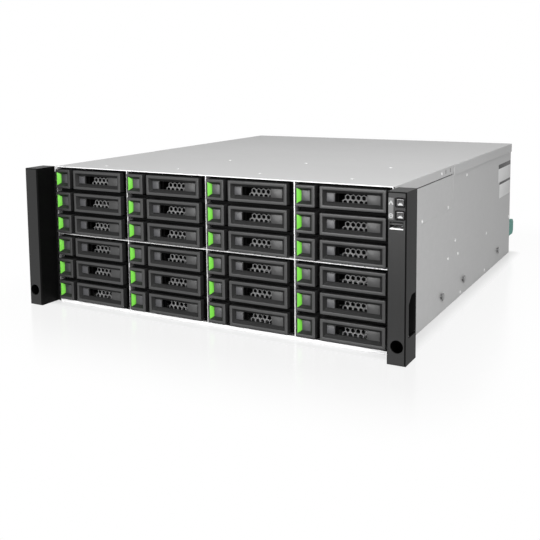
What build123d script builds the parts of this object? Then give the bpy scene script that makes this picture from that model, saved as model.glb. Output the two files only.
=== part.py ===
# Rackmount storage server, 24 front bays, four rack units high. Millimetres.
# +X is to the right of someone facing the front, +Y runs to the rear, +Z is up.
# The origin is on the underside, mid-width, in the plane where the ears meet the rack posts.
from build123d import *
import os

# Drive and carrier, measured from the divider on the tray's left and from the tray's mid-height
columns = 4
rows = 6
sheet = 1.0
drive_width = 101.6
drive_height = 26.1
drive_length = 147.0
drive_side_gap = 0.1
drive_head_gap = 0.3
drive_end_gap = 0.3
drive_lift = 1.65
drive_corner = 2.0
rail_thickness = 1.2
rail_left = 2.0
bay_slack = 3.3
ledge_thickness = 1.0
ledge_clearance = 0.3
drive_left = rail_left + rail_thickness + drive_side_gap
rail_right = drive_left + drive_width + drive_side_gap + rail_thickness
column_pitch = rail_right + bay_slack
row_pitch = drive_height + drive_head_gap + ledge_thickness + ledge_clearance
drive_bottom = drive_lift - row_pitch / 2
drive_top = drive_bottom + drive_height

# Chassis: as wide and as high as its bays ask
front_y = -2.0
depth = 520.0
hem_height = 2.2
hem_gap = 1.0
lid_gap = 0.2
width = columns * column_pitch
height = sheet + hem_height + hem_gap + (rows - 1) * row_pitch + drive_height + lid_gap + sheet
rear_y = front_y + depth
wall_in = width / 2 - sheet
cover_depth = 203.0
cover_slot_setbacks = (31.0, 13.0)
cover_slot_drop = 5.0
cover_slot_size = (2.0, 5.2)
seam_gap = 0.6
flange_drop = 10.5
flange_z = height - flange_drop
flange_gap = 1.3
wall_slack = 0.1
wall_top = height - sheet - wall_slack
lip_lap = 6.0
lid_proud = 1.2
lid_slack = 0.2
lid_flange_drop = 12.5
panel_drop = 52.0
panel_z = height - panel_drop
panel_step = 0.25
fold_radius = 0.9

# Bays
top_row_z = height - sheet - lid_gap - drive_top
tray_proud = 3.0
face_y = front_y - tray_proud
divider_thickness = 1.2
liner_thickness = 0.5
shelf_row = 2
shelf_clearance = 0.3
ledge_front_y = 10.0
ledge_tip_gap = 0.2
divider_top_gap = 0.05
liner_top_gap = 0.3
cage_tail = 1.0
drive_setback = 42.0
drive_front_y = front_y + drive_setback
drive_rear_y = drive_front_y + drive_length
cage_rear_y = drive_rear_y - cage_tail

# Carrier and drive screws
tray_wall_depth = 10.8
tray_wall_thickness = 1.2
tray_wall_y = face_y + tray_wall_depth
tie_bar_height = 2.4
tie_bar_thickness = 1.2
screw_head_radius = 3.0
screw_shank_radius = 1.7
screw_shank_length = 3.5
screw_clearance = 0.1
screw_front = 28.0
screw_rear = 17.0
screw_rise = 6.2
screw_rows_y = (drive_front_y + screw_front, drive_rear_y - screw_rear)
screw_z = drive_bottom + screw_rise
screw_sides = 8

# Latch housing at the tray's left
face_gap = 5.0
face_half_height = (row_pitch - face_gap) / 2
housing_left = 2.0
housing_width = 22.7
housing_right = housing_left + housing_width
pocket_rim_left = 2.0
pocket_rim_right = 3.7
pocket_rim_height = 3.05
pocket_left = housing_left + pocket_rim_left
pocket_right = housing_right - pocket_rim_right
pocket_half_height = face_half_height - pocket_rim_height
pocket_inset = 2.8
pocket_depth = 4.3
pocket_floor_thickness = 1.2
housing_skin = 0.9
cut_over = 1.0
latch_wall = 0.9
latch_clearance = 0.2
latch_travel = 1.5
latch_bar_half_height = 2.2
latch_bar_start = 0.4
latch_bar_thickness = 2.7
latch_bar_front = face_y + pocket_depth + pocket_floor_thickness + latch_bar_start
latch_bar_y = (latch_bar_front, latch_bar_front + latch_bar_thickness)
spring_inset = 3.4
spring_left = pocket_left + spring_inset
spring_length = 8.5
spring_half_height = 1.5
spring_rise = 1.1
spring_strip = 0.3
spring_folds = 5
spring_gap = 0.2
spring_peg = 1.0
spring_room = 1.8
peg_left = spring_left + spring_length + spring_gap + latch_travel
nose_length = 6.7
nose_step = 0.1
nose_thickness = 1.1
nose_y = (latch_bar_y[1] - nose_step - nose_thickness, latch_bar_y[1] - nose_step)

# Lever
lever_gap = 5.5
lever_end_gap = 4.2
lever_left = housing_right + lever_gap
lever_right = rail_right - lever_end_gap
lever_thickness = 6.8
grip_rim_left = 3.2
grip_rim_right = 2.7
grip_rim_height = 3.35
grip_left = lever_left + grip_rim_left
grip_right = lever_right - grip_rim_right
grip_half_height = face_half_height - grip_rim_height
grip_inset = 3.3
grip_depth = 4.3
window_lead = 12.2
window_tail = 18.7
window_lap = 0.1
window_left = grip_left + window_lead
window_right = grip_right - window_tail
window_half_height = grip_half_height - grip_inset + window_lap
pad_margin = 0.5
pad_half_height = window_half_height - pad_margin
pad_rise = 1.0
pad_corner = 2.0
hook_overlap = 1.2
hook_half_height = 2.6
hook_leg = 1.2
hook_gap = 0.3
hook_thickness = 1.1
hook_y = (nose_y[1] + hook_gap, nose_y[1] + hook_gap + hook_thickness)
pivot_inset = 3.0
pivot_depth = 8.6
pivot_x = lever_right - pivot_inset
pivot_y = face_y + pivot_depth
pin_radius = 0.9
pin_clearance = 0.05
barrel_radius = 1.7
lug_thickness = 2.4
lug_gap = 0.3
knuckle_gap = 0.3

# Honeycomb in the tray's front wall
cell_pitch = 5.85
cell_radius = 2.55
cell_row_drop = 5.07
cell_lead = 11.1
grille_lead = 1.2
grille_tail = 2.6
grille_margin = 3.45
grille_left = window_left + grille_lead
grille_right = window_right + grille_tail
grille_half_height = face_half_height - grille_margin
grille_thickness = 0.8
first_cell_x = window_left + cell_lead
cell_count = int((grille_right - cell_radius - first_cell_x) / cell_pitch) + 1

# Right ear controls: buttons, light strip and port
bezel_width = 10.0
bezel_height = 9.6
bezel_rise = 0.6
bezel_corner = 1.6
bezel_border = 1.3
bezel_gap = 1.8
bezel_margin = 1.1
cap_width = bezel_width - 2 * bezel_border
cap_height = bezel_height - 2 * bezel_border
cap_corner = 1.0
cap_gap = 0.15
cap_recess = 0.3
cap_length = 5.0
stem_radius = 1.5
stem_sides = 8
stem_gap = 0.3
button_travel = 1.5
button_drops = (10.4, 22.6)
strip_inset = 1.1
strip_width = 5.0
strip_drops = (27.0, 6.4)
strip_gap = 0.1
light_leg_gap = 0.3
light_leg_half_height = 2.0
usb_inset = 2.4
usb_width = 13.4
usb_drops = (36.4, 29.2)
usb_wall = 0.6
usb_length = 15.0
usb_tongue = 1.9
usb_tongue_drop = 0.6
usb_tongue_inset = 1.2
usb_tongue_setback = 1.0
usb_setback = 0.3
board_setback = 16.0
board_thickness = 1.4
board_drops = (42.0, 4.0)
board_edge_gap = 0.2

# Ears: wide enough for the strip and the buttons side by side
ear_clearance = 3.3
ear_inner = width / 2 + ear_clearance
ear_width = strip_inset + strip_width + bezel_gap + bezel_width + bezel_margin
ear_outer = ear_inner + ear_width
ear_depth = 31.0
ear_front_y = -ear_depth
ear_bottom = 1.0
ear_top_gap = 0.5
ear_top = height - ear_top_gap
ear_wall = 1.7
ear_front_wall = 1.8
ear_rear_gap = 0.2
ear_corner = 1.2
rack_hole_inset = 8.75
rack_hole_x = ear_outer - rack_hole_inset
rack_hole_radius = 3.5
rack_hole_z = 19.8
tool_hole_radius = 6.5
grip_cut_setback = 9.0
grip_cut_front_y = ear_front_y + grip_cut_setback
grip_cut_z = (27.0, 68.0)
grip_cut_corner = 8.0
flange_thickness = 2.0
flange_notch_drop = 7.0
flange_notch_z = height - flange_notch_drop
flange_leg_thickness = 1.5
flange_leg_depth = 30.0
flange_leg_drop = 8.0
slot_drops = (45.0, 39.0)
slot_z = tuple(height - drop for drop in slot_drops)
slot_inset = 0.3
button_x = ear_inner + strip_inset + strip_width + bezel_gap + bezel_width / 2
button_z = tuple(height - drop for drop in button_drops)
strip_x = (ear_inner + strip_inset, ear_inner + strip_inset + strip_width)
strip_z = tuple(height - drop for drop in strip_drops)
usb_x = (ear_inner + usb_inset, ear_inner + usb_inset + usb_width)
usb_z = tuple(height - drop for drop in usb_drops)
board_y = ear_front_y + board_setback
board_z = tuple(height - drop for drop in board_drops)

# Midplane
connector_depth = 5.7
connector_width = 42.0
connector_height = 7.0
connector_gap = 0.3
connector_rise = 1.2
midplane_y = drive_rear_y + connector_gap + connector_depth
midplane_thickness = 2.4
midplane_margin = 4.0
vent_rise = 1.0
vent_width = 70.0
vent_height = 10.0

# Rear half: fan modules and power supplies below, two canisters above
module_gap = 0.3
fan_radius = 39.0
fan_wall = 2.45
module_low = sheet + module_gap
module_high = module_low + 2 * (fan_radius + fan_wall)
rear_shelf_z = module_high + module_gap
canister_height = (height - 3 * sheet - 4 * module_gap - rear_shelf_z) / 2
upper_shelf_z = rear_shelf_z + sheet + canister_height + 2 * module_gap
supply_bay_width = 88.0
bay_wall_x = wall_in - supply_bay_width
bay_wall_lead = 10.0
canister_length = 218.0
canister_front_y = rear_y - canister_length
socket_width = 12.4
socket_height = 10.4
socket_depth = 11.0
socket_x = (-60.0, -40.0)
plug_x = (20.0, 40.0, 60.0, 80.0)
plug_width = 13.6
plug_height = 9.4
plug_rise = 1.2
vent_slot_lead = 25.0
vent_slot_tail = 20.0
vent_slot_pitch = 9.0
vent_slot_size = (4.0, 24.0)
vent_slot_left = plug_x[-1] + vent_slot_lead
vent_slot_count = int((wall_in - vent_slot_tail - vent_slot_left) / vent_slot_pitch) + 1
canister_lever_length = 66.0
canister_lever_width = 9.0
canister_lever_thickness = 4.8
canister_lever_grip = 4.0
canister_lever_lip = 3.0
canister_lever_ramp = 9.0
canister_lever_waist = 1.0
canister_lever_clip = 1.6
canister_lever_inset = 10.0
canister_lever_x = canister_lever_inset - wall_in

# Power supplies
supply_length = 188.0
supply_front_y = rear_y - supply_length
inlet_width = 27.0
inlet_height = 19.8
inlet_depth = 16.0
inlet_inset = 27.45
inlet_z = 25.0
blade_length = 13.0
blade_size = (2.0, 4.0)
blade_spread = 7.0
blade_step = 2.0
slot_size = (52.0, 3.4)
slot_count = 7
slot_pitch = 6.0
slot_depth = 3.0
intake_inset = 33.45
intake_drop = 28.2
intake_z = module_high - intake_drop
handle_reach = 28.0
handle_span = 50.0
handle_bar = 4.5
handle_corner = 9.0
handle_width = 9.0
handle_inset = 19.45
tab_thickness = 4.0
tab_z = (24.0, 47.0)
tab_reach = 40.0
tab_corner = 5.0
tab_inset = 1.0
tab_heel = 0.2
clevis_size = 5.0
clevis_plate = 2.0
clevis_gap = 0.3
clevis_pin_y = 3.0
clevis_pin_radius = 1.5

# Fan modules
fan_length = 78.0
fan_front_y = rear_y - fan_length
fan_tip_gap = 1.5
fan_hub_radius = 15.0
fan_blades = 7
fan_blade_pitch = 35.0
fan_shaft_radius = 2.5
fan_shaft_gap = 0.06
fan_depth = 22.0
fan_setback = 8.0
fan_hub_step = 2.0
fan_blade_size = (1.6, 22.0)
strut_width = 5.0
strut_thickness = 3.0
strut_gap = 1.0
strut_overlap = 0.5
shaft_root = 0.5
loop_width = 14.0
loop_wall = 2.5
loop_depth = 14.25
loop_height = 28.0
loop_inset = 11.0
guard_ring = 22.0
guard_sides = 16
guard_bar = 2.0

# Rail studs and rivets. Those of a group keep their distance from the underside, the top or the rear.
stud_radius = 2.8
stud_length = 2.0
stud_head_radius = 4.6
stud_head = 1.2
stud_sides = 12
stud_front_y = 158.7
stud_middle_y = 251.6
stud_rear = 80.4
studs_y = (stud_front_y, stud_middle_y, rear_y - stud_rear)
rivet_radius = 2.2
rivet_height = 0.6
rivet_sides = 8
lower_rivets_yz = (
    (216.2, 75.9), (371.4, 56.9), (228.4, 57.0), (185.8, 59.3), (242.4, 4.8), (364.8, 6.1),
)
upper_rivets_y_drop = ((264.6, 19.2), (183.9, 48.9), (86.8, 49.5), (156.2, 5.4))
rear_rivet_setback = 7.3
rear_rivet_z = 57.9
side_rivets_yz = (
    *lower_rivets_yz, *[(y, height - drop) for y, drop in upper_rivets_y_drop],
    (rear_y - rear_rivet_setback, rear_rivet_z),
)
top_rivets_xy = (
    (-160.7, 24.1), (-60.4, 33.1), (48.6, 34.7), (159.3, 34.7), (-53.1, 138.5), (50.8, 147.0),
    (161.4, 144.8),
)

os.makedirs("parts", exist_ok=True)


def at_y(y):
    """A sketch plane at depth y that faces the front: its x is +X and its y is +Z."""
    return Plane.XZ.offset(-y)


def rear_plane(y):
    """A sketch plane at depth y that faces the rear: its x is -X and its y is +Z."""
    return Plane(origin=(0, y, 0), x_dir=(-1, 0, 0), z_dir=(0, 1, 0))


def span(low, high):
    """The middle and the length of a stretch."""
    return (low + high) / 2, high - low


def block(x, y, z, mode=Mode.ADD):
    """A plain block between two limits along each axis, in the part being built."""
    (mid_x, long_x), (mid_y, long_y), (mid_z, long_z) = span(*x), span(*y), span(*z)
    with Locations((mid_x, mid_y, mid_z)):
        Box(long_x, long_y, long_z, mode=mode)


def save(shape, name):
    """Label one finished piece, or a group of like pieces, and write its STEP file."""
    shape.label = name
    export_step(shape, f"parts/{name}.step")


def save_group(solids, name):
    """Write several separate solids as one node."""
    save(Compound(label=name, children=solids), name)


def row_z(row):
    """Mid-height of the trays in a row, with row 0 at the top."""
    return top_row_z - row_pitch * row


def column_x(column):
    """The divider on the left of a column."""
    return -width / 2 + column_pitch * column


def bay_span(column):
    """The clear width of a column, between its dividers or the liners of the side walls."""
    half = divider_thickness / 2
    left = column_x(column) + (half if column > 0 else sheet + liner_thickness)
    right = column_x(column + 1) - (half if column < columns - 1 else sheet + liner_thickness)
    return left, right


shelf_top = row_z(shelf_row) + drive_bottom - shelf_clearance


# Chassis base: a folded channel, with a joggled lip under the front cover
def make_chassis_base():
    with BuildPart() as base:
        with BuildSketch(at_y(front_y)):
            with Locations((0, 0)):
                Rectangle(width, flange_z - flange_gap, align=(Align.CENTER, Align.MIN))
            with Locations((0, sheet)):
                Rectangle(2 * wall_in, height, align=(Align.CENTER, Align.MIN), mode=Mode.SUBTRACT)
        extrude(amount=-(cover_depth - front_y))
        with BuildSketch(at_y(cover_depth)):
            Rectangle(width, wall_top, align=(Align.CENTER, Align.MIN))
            with Locations((0, sheet)):
                Rectangle(2 * wall_in, height, align=(Align.CENTER, Align.MIN), mode=Mode.SUBTRACT)
        extrude(amount=-(rear_y - cover_depth))
        # joggled lips carry the front cover and lap the rear walls
        for side in (-1, 1):
            block(
                tuple(sorted((side * wall_in, side * (wall_in - sheet)))),
                (front_y, cover_depth + lip_lap), (flange_z - flange_gap - sheet, wall_top),
            )
        # the front hem of the floor stands up below the lowest trays, slotted for the dividers
        for column in range(columns):
            block(bay_span(column), (front_y, front_y + sheet), (sheet, sheet + hem_height))
        # shallow step pressed into the upper front of each side
        for side in (-1, 1):
            with BuildSketch(Plane.YZ.offset(side * width / 2)):
                with Locations((span(front_y, cover_depth)[0], span(panel_z, flange_z)[0])):
                    Rectangle(cover_depth - front_y, flange_z - panel_z)
            extrude(amount=-side * panel_step, mode=Mode.SUBTRACT)
        folds = base.edges().filter_by(Axis.Y).filter_by(lambda e: e.center().Z < 0.01)
        fillet(folds.filter_by(lambda e: abs(e.center().X) > wall_in), radius=fold_radius)
    return base.part


# Front cover: a folded lid fixed by rivets, with two slots in each flange
def make_front_cover():
    with BuildPart() as cover:
        with BuildSketch(at_y(front_y)):
            with Locations((0, flange_z)):
                Rectangle(width, height - flange_z, align=(Align.CENTER, Align.MIN))
                Rectangle(
                    2 * wall_in, height - sheet - flange_z,
                    align=(Align.CENTER, Align.MIN), mode=Mode.SUBTRACT,
                )
        extrude(amount=-(cover_depth - seam_gap - front_y))
        with BuildSketch(Plane.YZ):
            with Locations(*[(cover_depth - y, height - cover_slot_drop) for y in cover_slot_setbacks]):
                Rectangle(*cover_slot_size)
        extrude(amount=width, both=True, mode=Mode.SUBTRACT)
        folds = cover.edges().filter_by(Axis.Y).filter_by(lambda e: e.center().Z > height - 0.01)
        fillet(folds, radius=fold_radius)
    return cover.part


# Rear lid: a folded lid outside the walls, which slides to the rear to come off
def make_rear_lid():
    half = width / 2 + lid_proud
    flange = lid_proud - lid_slack
    flange_foot = height - lid_flange_drop
    with BuildPart() as lid:
        with BuildSketch(at_y(cover_depth)):
            with Locations((0, flange_foot)):
                Rectangle(2 * half, lid_flange_drop, align=(Align.CENTER, Align.MIN))
                Rectangle(
                    2 * (half - flange), lid_flange_drop - sheet,
                    align=(Align.CENTER, Align.MIN), mode=Mode.SUBTRACT,
                )
        extrude(amount=-(rear_y - cover_depth))
        folds = lid.edges().filter_by(Axis.Y).filter_by(lambda e: e.center().Z > height - 0.01)
        fillet(folds, radius=fold_radius)
    return lid.part


# Drive cage: liners, dividers with guide ledges, and the middle shelf
def ledge_levels():
    """Height of the top of the ledge below each row, apart from the row on the shelf."""
    return [row_z(row) + drive_bottom - ledge_clearance for row in range(rows) if row != shelf_row]


def make_wall_with_ledges(x, sides, inner, ledge_tips):
    """A divider or liner between two x limits, with ledges that reach out on the given sides."""
    with BuildPart() as wall:
        block(x, (front_y, cage_rear_y), (sheet, inner))
        for side, tip in zip(sides, ledge_tips):
            root = x[1] if side > 0 else x[0]
            for top in ledge_levels():
                block(
                    tuple(sorted((root, tip))), (ledge_front_y, cage_rear_y),
                    (top - ledge_thickness, top),
                )
    return wall.part


def make_drive_cage():
    half = divider_thickness / 2
    left_tip = rail_left + rail_thickness - ledge_tip_gap
    right_tip = column_pitch - (rail_right - rail_thickness + ledge_tip_gap)
    cage = []
    for column in range(1, columns):
        x = column_x(column)
        cage.append(make_wall_with_ledges(
            (x - half, x + half), (-1, 1), height - sheet - divider_top_gap,
            (x - right_tip, x + left_tip),
        ))
    liner_top = flange_z - flange_gap - sheet - liner_top_gap
    cage.append(make_wall_with_ledges(
        (-wall_in, -wall_in + liner_thickness), (1,), liner_top, (-width / 2 + left_tip,),
    ))
    cage.append(make_wall_with_ledges(
        (wall_in - liner_thickness, wall_in), (-1,), liner_top, (width / 2 - right_tip,),
    ))
    for column in range(columns):
        with BuildPart() as shelf:
            block(bay_span(column), (front_y, cage_rear_y), (shelf_top - sheet, shelf_top))
        cage.append(shelf.part)
    return cage


# Tray pieces, built for a bay whose left divider is at x = 0 and mid-height at z = 0.
# The full form has every detail. The plain form leaves out what only shows on a bench.
def make_latch_housing(full):
    """The left end of a tray: a pocket with sloped walls, and a channel for the latch behind."""
    floor_y = face_y + pocket_depth
    pocket_x, pocket_w = span(pocket_left, pocket_right)
    with BuildPart() as housing:
        with BuildSketch(at_y(face_y)):
            with Locations((span(housing_left, housing_right)[0], 0)):
                Rectangle(housing_right - housing_left, 2 * face_half_height)
        extrude(amount=-tray_wall_depth)
        with BuildSketch(at_y(face_y)):
            with Locations((pocket_x, 0)):
                Rectangle(pocket_w, 2 * pocket_half_height)
        with BuildSketch(at_y(floor_y)):
            with Locations((pocket_x, 0)):
                Rectangle(pocket_w - 2 * pocket_inset, 2 * (pocket_half_height - pocket_inset))
        loft(ruled=True, mode=Mode.SUBTRACT)
        # room for the green wall, from behind the front skin to the channel
        room_x, room_w = span(housing_left - cut_over, pocket_left + pocket_inset)
        room = pocket_half_height - pocket_inset * housing_skin / pocket_depth
        foot = pocket_half_height - pocket_inset
        for y, half in ((face_y + housing_skin, room), (floor_y, foot)):
            with BuildSketch(at_y(y)):
                with Locations((room_x, 0)):
                    Rectangle(room_w, 2 * half)
        loft(ruled=True, mode=Mode.SUBTRACT)
        if full:
            block(
                (housing_left - cut_over, pocket_left + pocket_inset),
                (floor_y, latch_bar_y[1] + latch_clearance), (-foot, foot), mode=Mode.SUBTRACT,
            )
            block(
                (housing_left - cut_over, housing_right + cut_over),
                (floor_y + pocket_floor_thickness, latch_bar_y[1] + latch_clearance),
                (-latch_bar_half_height - latch_clearance, latch_bar_half_height + latch_clearance),
                mode=Mode.SUBTRACT,
            )
            block(
                (spring_left - spring_gap, peg_left + spring_peg + spring_gap),
                (latch_bar_y[1], latch_bar_y[1] + latch_clearance + spring_room),
                (-spring_half_height - spring_gap, spring_half_height + spring_gap),
                mode=Mode.SUBTRACT,
            )
    return housing.part


def make_latch(full):
    """The green sloped wall that a finger pushes, its bar through the housing and its nose."""
    top_y = face_y + housing_skin + latch_clearance / 2
    floor_y = face_y + pocket_depth
    slope = pocket_inset / pocket_depth
    top_x = pocket_left + slope * (top_y - face_y) - latch_clearance / 2
    foot_x = pocket_left + pocket_inset - latch_clearance
    left = top_x - latch_wall
    nose_x = housing_right + nose_length
    with BuildPart() as latch:
        for y, right in ((top_y, top_x), (floor_y, foot_x)):
            half = pocket_half_height - slope * (y - face_y) - latch_clearance
            with BuildSketch(at_y(y)):
                with Locations((span(left, right)[0], 0)):
                    Rectangle(right - left, 2 * half)
        loft(ruled=True)
        if full:
            foot = pocket_half_height - pocket_inset - latch_clearance
            block((left, foot_x), (floor_y, latch_bar_y[1]), (-foot, foot))
            block(
                (left, housing_right - latch_clearance), latch_bar_y,
                (-latch_bar_half_height, latch_bar_half_height),
            )
            block(
                (housing_right - latch_clearance, nose_x), nose_y,
                (-latch_bar_half_height, latch_bar_half_height),
            )
            block(
                (peg_left, peg_left + spring_peg), (latch_bar_y[1], latch_bar_y[1] + spring_room),
                (-spring_half_height, spring_half_height),
            )
    return latch.part


def make_carrier(full):
    """The tray body behind the face: front wall with its window, rails, tie bar and pivot lugs."""
    low, high = drive_bottom, drive_top
    wall_rear = tray_wall_y + tray_wall_thickness
    rail_end = drive_rear_y + drive_end_gap + tie_bar_thickness
    window_x, window_w = span(grille_left, grille_right)
    with BuildPart() as carrier:
        block((rail_left, rail_right), (tray_wall_y, wall_rear), (low, high))
        for left in (rail_left, rail_right - rail_thickness):
            block((left, left + rail_thickness), (tray_wall_y, rail_end), (low, high))
        block((rail_left, rail_right), (rail_end - tie_bar_thickness, rail_end), (low, low + tie_bar_height))
        with BuildSketch(at_y(tray_wall_y)):
            with Locations((window_x, 0)):
                Rectangle(window_w, 2 * grille_half_height)
        extrude(amount=-tray_wall_thickness, mode=Mode.SUBTRACT)
        # two lugs carry the lever's pin
        for side in (-1, 1) if full else ():
            outer = side * face_half_height
            inner = side * (face_half_height - lug_thickness)
            z = tuple(sorted((inner, outer)))
            with BuildSketch(Plane.XY.offset(z[0])):
                with Locations((pivot_x, pivot_y)):
                    Circle(barrel_radius)
                with Locations((pivot_x, span(pivot_y, tray_wall_y)[0])):
                    Rectangle(2 * barrel_radius, tray_wall_y - pivot_y)
                with Locations((pivot_x, pivot_y)):
                    Circle(pin_radius + pin_clearance, mode=Mode.SUBTRACT)
            extrude(amount=z[1] - z[0])
    return carrier.part


def make_grille():
    """The honeycomb sheet: two staggered rows of six-sided holes."""
    grille_x, grille_w = span(grille_left, grille_right)
    with BuildPart() as grille:
        with BuildSketch(at_y(tray_wall_y + (tray_wall_thickness - grille_thickness) / 2)):
            with Locations((grille_x, 0)):
                Rectangle(grille_w, 2 * grille_half_height)
            for row, shift in enumerate((0.0, -cell_pitch / 2)):
                cells = [
                    (first_cell_x + shift + cell_pitch * n, -cell_row_drop * row)
                    for n in range(cell_count)
                ]
                with Locations(*cells):
                    RegularPolygon(cell_radius, 6, rotation=30, mode=Mode.SUBTRACT)
        extrude(amount=-grille_thickness)
    return grille.part


def make_lever(full):
    """The long handle: dished grip, window, raised pad, hook at its left and barrel at its right."""
    back_y = face_y + lever_thickness
    floor_y = face_y + grip_depth
    mid_x, long_x = span(lever_left, lever_right)
    grip_x, grip_w = span(grip_left, grip_right)
    window_x, window_w = span(window_left, window_right)
    pad_left = grip_left + grip_inset
    with BuildPart() as lever:
        with BuildSketch(at_y(face_y)):
            with Locations((mid_x, 0)):
                Rectangle(long_x, 2 * face_half_height)
        extrude(amount=-lever_thickness)
        with BuildSketch(at_y(face_y)):
            with Locations((grip_x, 0)):
                Rectangle(grip_w, 2 * grip_half_height)
        with BuildSketch(at_y(floor_y)):
            with Locations((grip_x, 0)):
                Rectangle(grip_w - 2 * grip_inset, 2 * (grip_half_height - grip_inset))
        loft(ruled=True, mode=Mode.SUBTRACT)
        with BuildSketch(at_y(floor_y)):
            with Locations((span(pad_left, window_left)[0], 0)):
                Rectangle(window_left - pad_left, 2 * pad_half_height)
        extrude(amount=pad_rise)
        with BuildSketch(at_y(floor_y)):
            with Locations((window_x, 0)):
                Rectangle(window_w, 2 * window_half_height)
        extrude(amount=-lever_thickness, mode=Mode.SUBTRACT)
        barrel_half = face_half_height - lug_thickness - lug_gap
        if full:
            corner = lever.edges().filter_by(Axis.Y).filter_by(
                lambda e: abs(e.center().X - window_left) < 0.01
                and abs(e.center().Z - pad_half_height) < 0.01
            )
            fillet(corner, radius=pad_corner)
            # hook: a leg behind the left end, turned towards the latch
            hook_z = (-hook_half_height, hook_half_height)
            leg_left = lever_left + hook_overlap + 2 * latch_clearance
            block((leg_left, leg_left + hook_leg), (back_y, hook_y[1]), hook_z)
            block((lever_left, leg_left), hook_y, hook_z)
            # barrel on the pin, between the lugs
            with BuildSketch(Plane.XY.offset(-barrel_half)):
                with Locations((pivot_x, pivot_y)):
                    Circle(barrel_radius)
                with Locations((pivot_x, span(back_y, pivot_y)[0])):
                    Rectangle(2 * barrel_radius, pivot_y - back_y)
                with Locations((pivot_x, pivot_y)):
                    Circle(pin_radius + pin_clearance, mode=Mode.SUBTRACT)
            extrude(amount=2 * barrel_half)
        else:
            block(
                (pivot_x - barrel_radius, pivot_x + barrel_radius), (back_y, tray_wall_y - knuckle_gap),
                (-barrel_half, barrel_half),
            )
    return lever.part


def make_lever_pin():
    with BuildPart() as pin:
        with BuildSketch(Plane.XY.offset(-face_half_height)):
            with Locations((pivot_x, pivot_y)):
                Circle(pin_radius)
        extrude(amount=2 * face_half_height)
    return pin.part


def make_latch_spring():
    """A flat zigzag spring that lies behind the pocket floor and pushes the latch to the right."""
    y = latch_bar_y[1] + latch_clearance + spring_gap
    crests = [
        (spring_left + spring_length * n / spring_folds, y + (spring_rise if n % 2 else 0.0))
        for n in range(spring_folds + 1)
    ]
    with BuildPart() as spring:
        with BuildSketch(Plane.XY.offset(-spring_half_height)):
            with BuildLine():
                upper = Polyline(*crests)
                lower = Polyline(*[(x, y + spring_strip) for x, y in crests])
                Line(upper @ 0, lower @ 0)
                Line(upper @ 1, lower @ 1)
            make_face()
        extrude(amount=2 * spring_half_height)
    return spring.part


def make_drive(full):
    with BuildPart() as drive:
        block(
            (drive_left, drive_left + drive_width), (drive_front_y, drive_rear_y),
            (drive_bottom, drive_top),
        )
        if full:
            chamfer(drive.edges().filter_by(Axis.Z), length=drive_corner)
    return drive.part


def drive_screw_sites():
    """Where a screw goes through a rail: its depth, its height, and the side it enters from."""
    return [(y, side) for side in (-1, 1) for y in screw_rows_y]


def make_drive_screws():
    """Four countersunk screws, heads flush with the rails."""
    screws = []
    for y, side in drive_screw_sites():
        outer = rail_right if side > 0 else rail_left
        inner = outer - side * (rail_thickness + drive_side_gap)
        with BuildPart() as screw:
            for x, radius in ((outer, screw_head_radius), (inner, screw_shank_radius)):
                with BuildSketch(Plane.YZ.offset(x)):
                    with Locations((y, screw_z)):
                        RegularPolygon(radius, screw_sides)
            loft(ruled=True)
            with BuildSketch(Plane.YZ.offset(inner)):
                with Locations((y, screw_z)):
                    RegularPolygon(screw_shank_radius, screw_sides)
            extrude(amount=-side * screw_shank_length)
        screws.append(screw.part)
    return screws


def make_screw_cutter(side_clearance):
    """The shape of the four screws, a little larger, to cut from a rail or a drive."""
    cutters = []
    for y, side in drive_screw_sites():
        outer = rail_right if side > 0 else rail_left
        inner = outer - side * (rail_thickness + drive_side_gap)
        with BuildPart() as cutter:
            for x, radius in ((outer, screw_head_radius), (inner, screw_shank_radius)):
                with BuildSketch(Plane.YZ.offset(x)):
                    with Locations((y, screw_z)):
                        RegularPolygon(radius + side_clearance, screw_sides)
            loft(ruled=True)
            with BuildSketch(Plane.YZ.offset(inner)):
                with Locations((y, screw_z)):
                    RegularPolygon(screw_shank_radius + side_clearance, screw_sides)
            extrude(amount=-side * (screw_shank_length + side_clearance))
        cutters.append(cutter.part)
    return cutters


# Ears
def make_rack_flange(side):
    """A steel angle: the flange meets the rack post, the leg is screwed to the chassis wall."""
    outer = side * ear_outer
    neck = side * ear_inner
    wall = side * width / 2
    with BuildPart() as flange:
        block(tuple(sorted((neck, outer))), (-flange_thickness, 0), (ear_bottom, ear_top))
        block(tuple(sorted((wall, neck))), (-flange_thickness, 0), (ear_bottom, flange_notch_z))
        block(
            tuple(sorted((wall, wall + side * flange_leg_thickness))), (-flange_thickness, flange_leg_depth),
            (ear_bottom, flange_notch_z - flange_leg_drop),
        )
        notch = wall + side * (flange_leg_thickness + slot_inset)
        block(tuple(sorted((notch, neck))), (-flange_thickness, 0), slot_z, mode=Mode.SUBTRACT)
        with BuildSketch(at_y(0)):
            with Locations((side * rack_hole_x, rack_hole_z)):
                Circle(rack_hole_radius)
        extrude(amount=flange_thickness, mode=Mode.SUBTRACT)
    return flange.part


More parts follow.
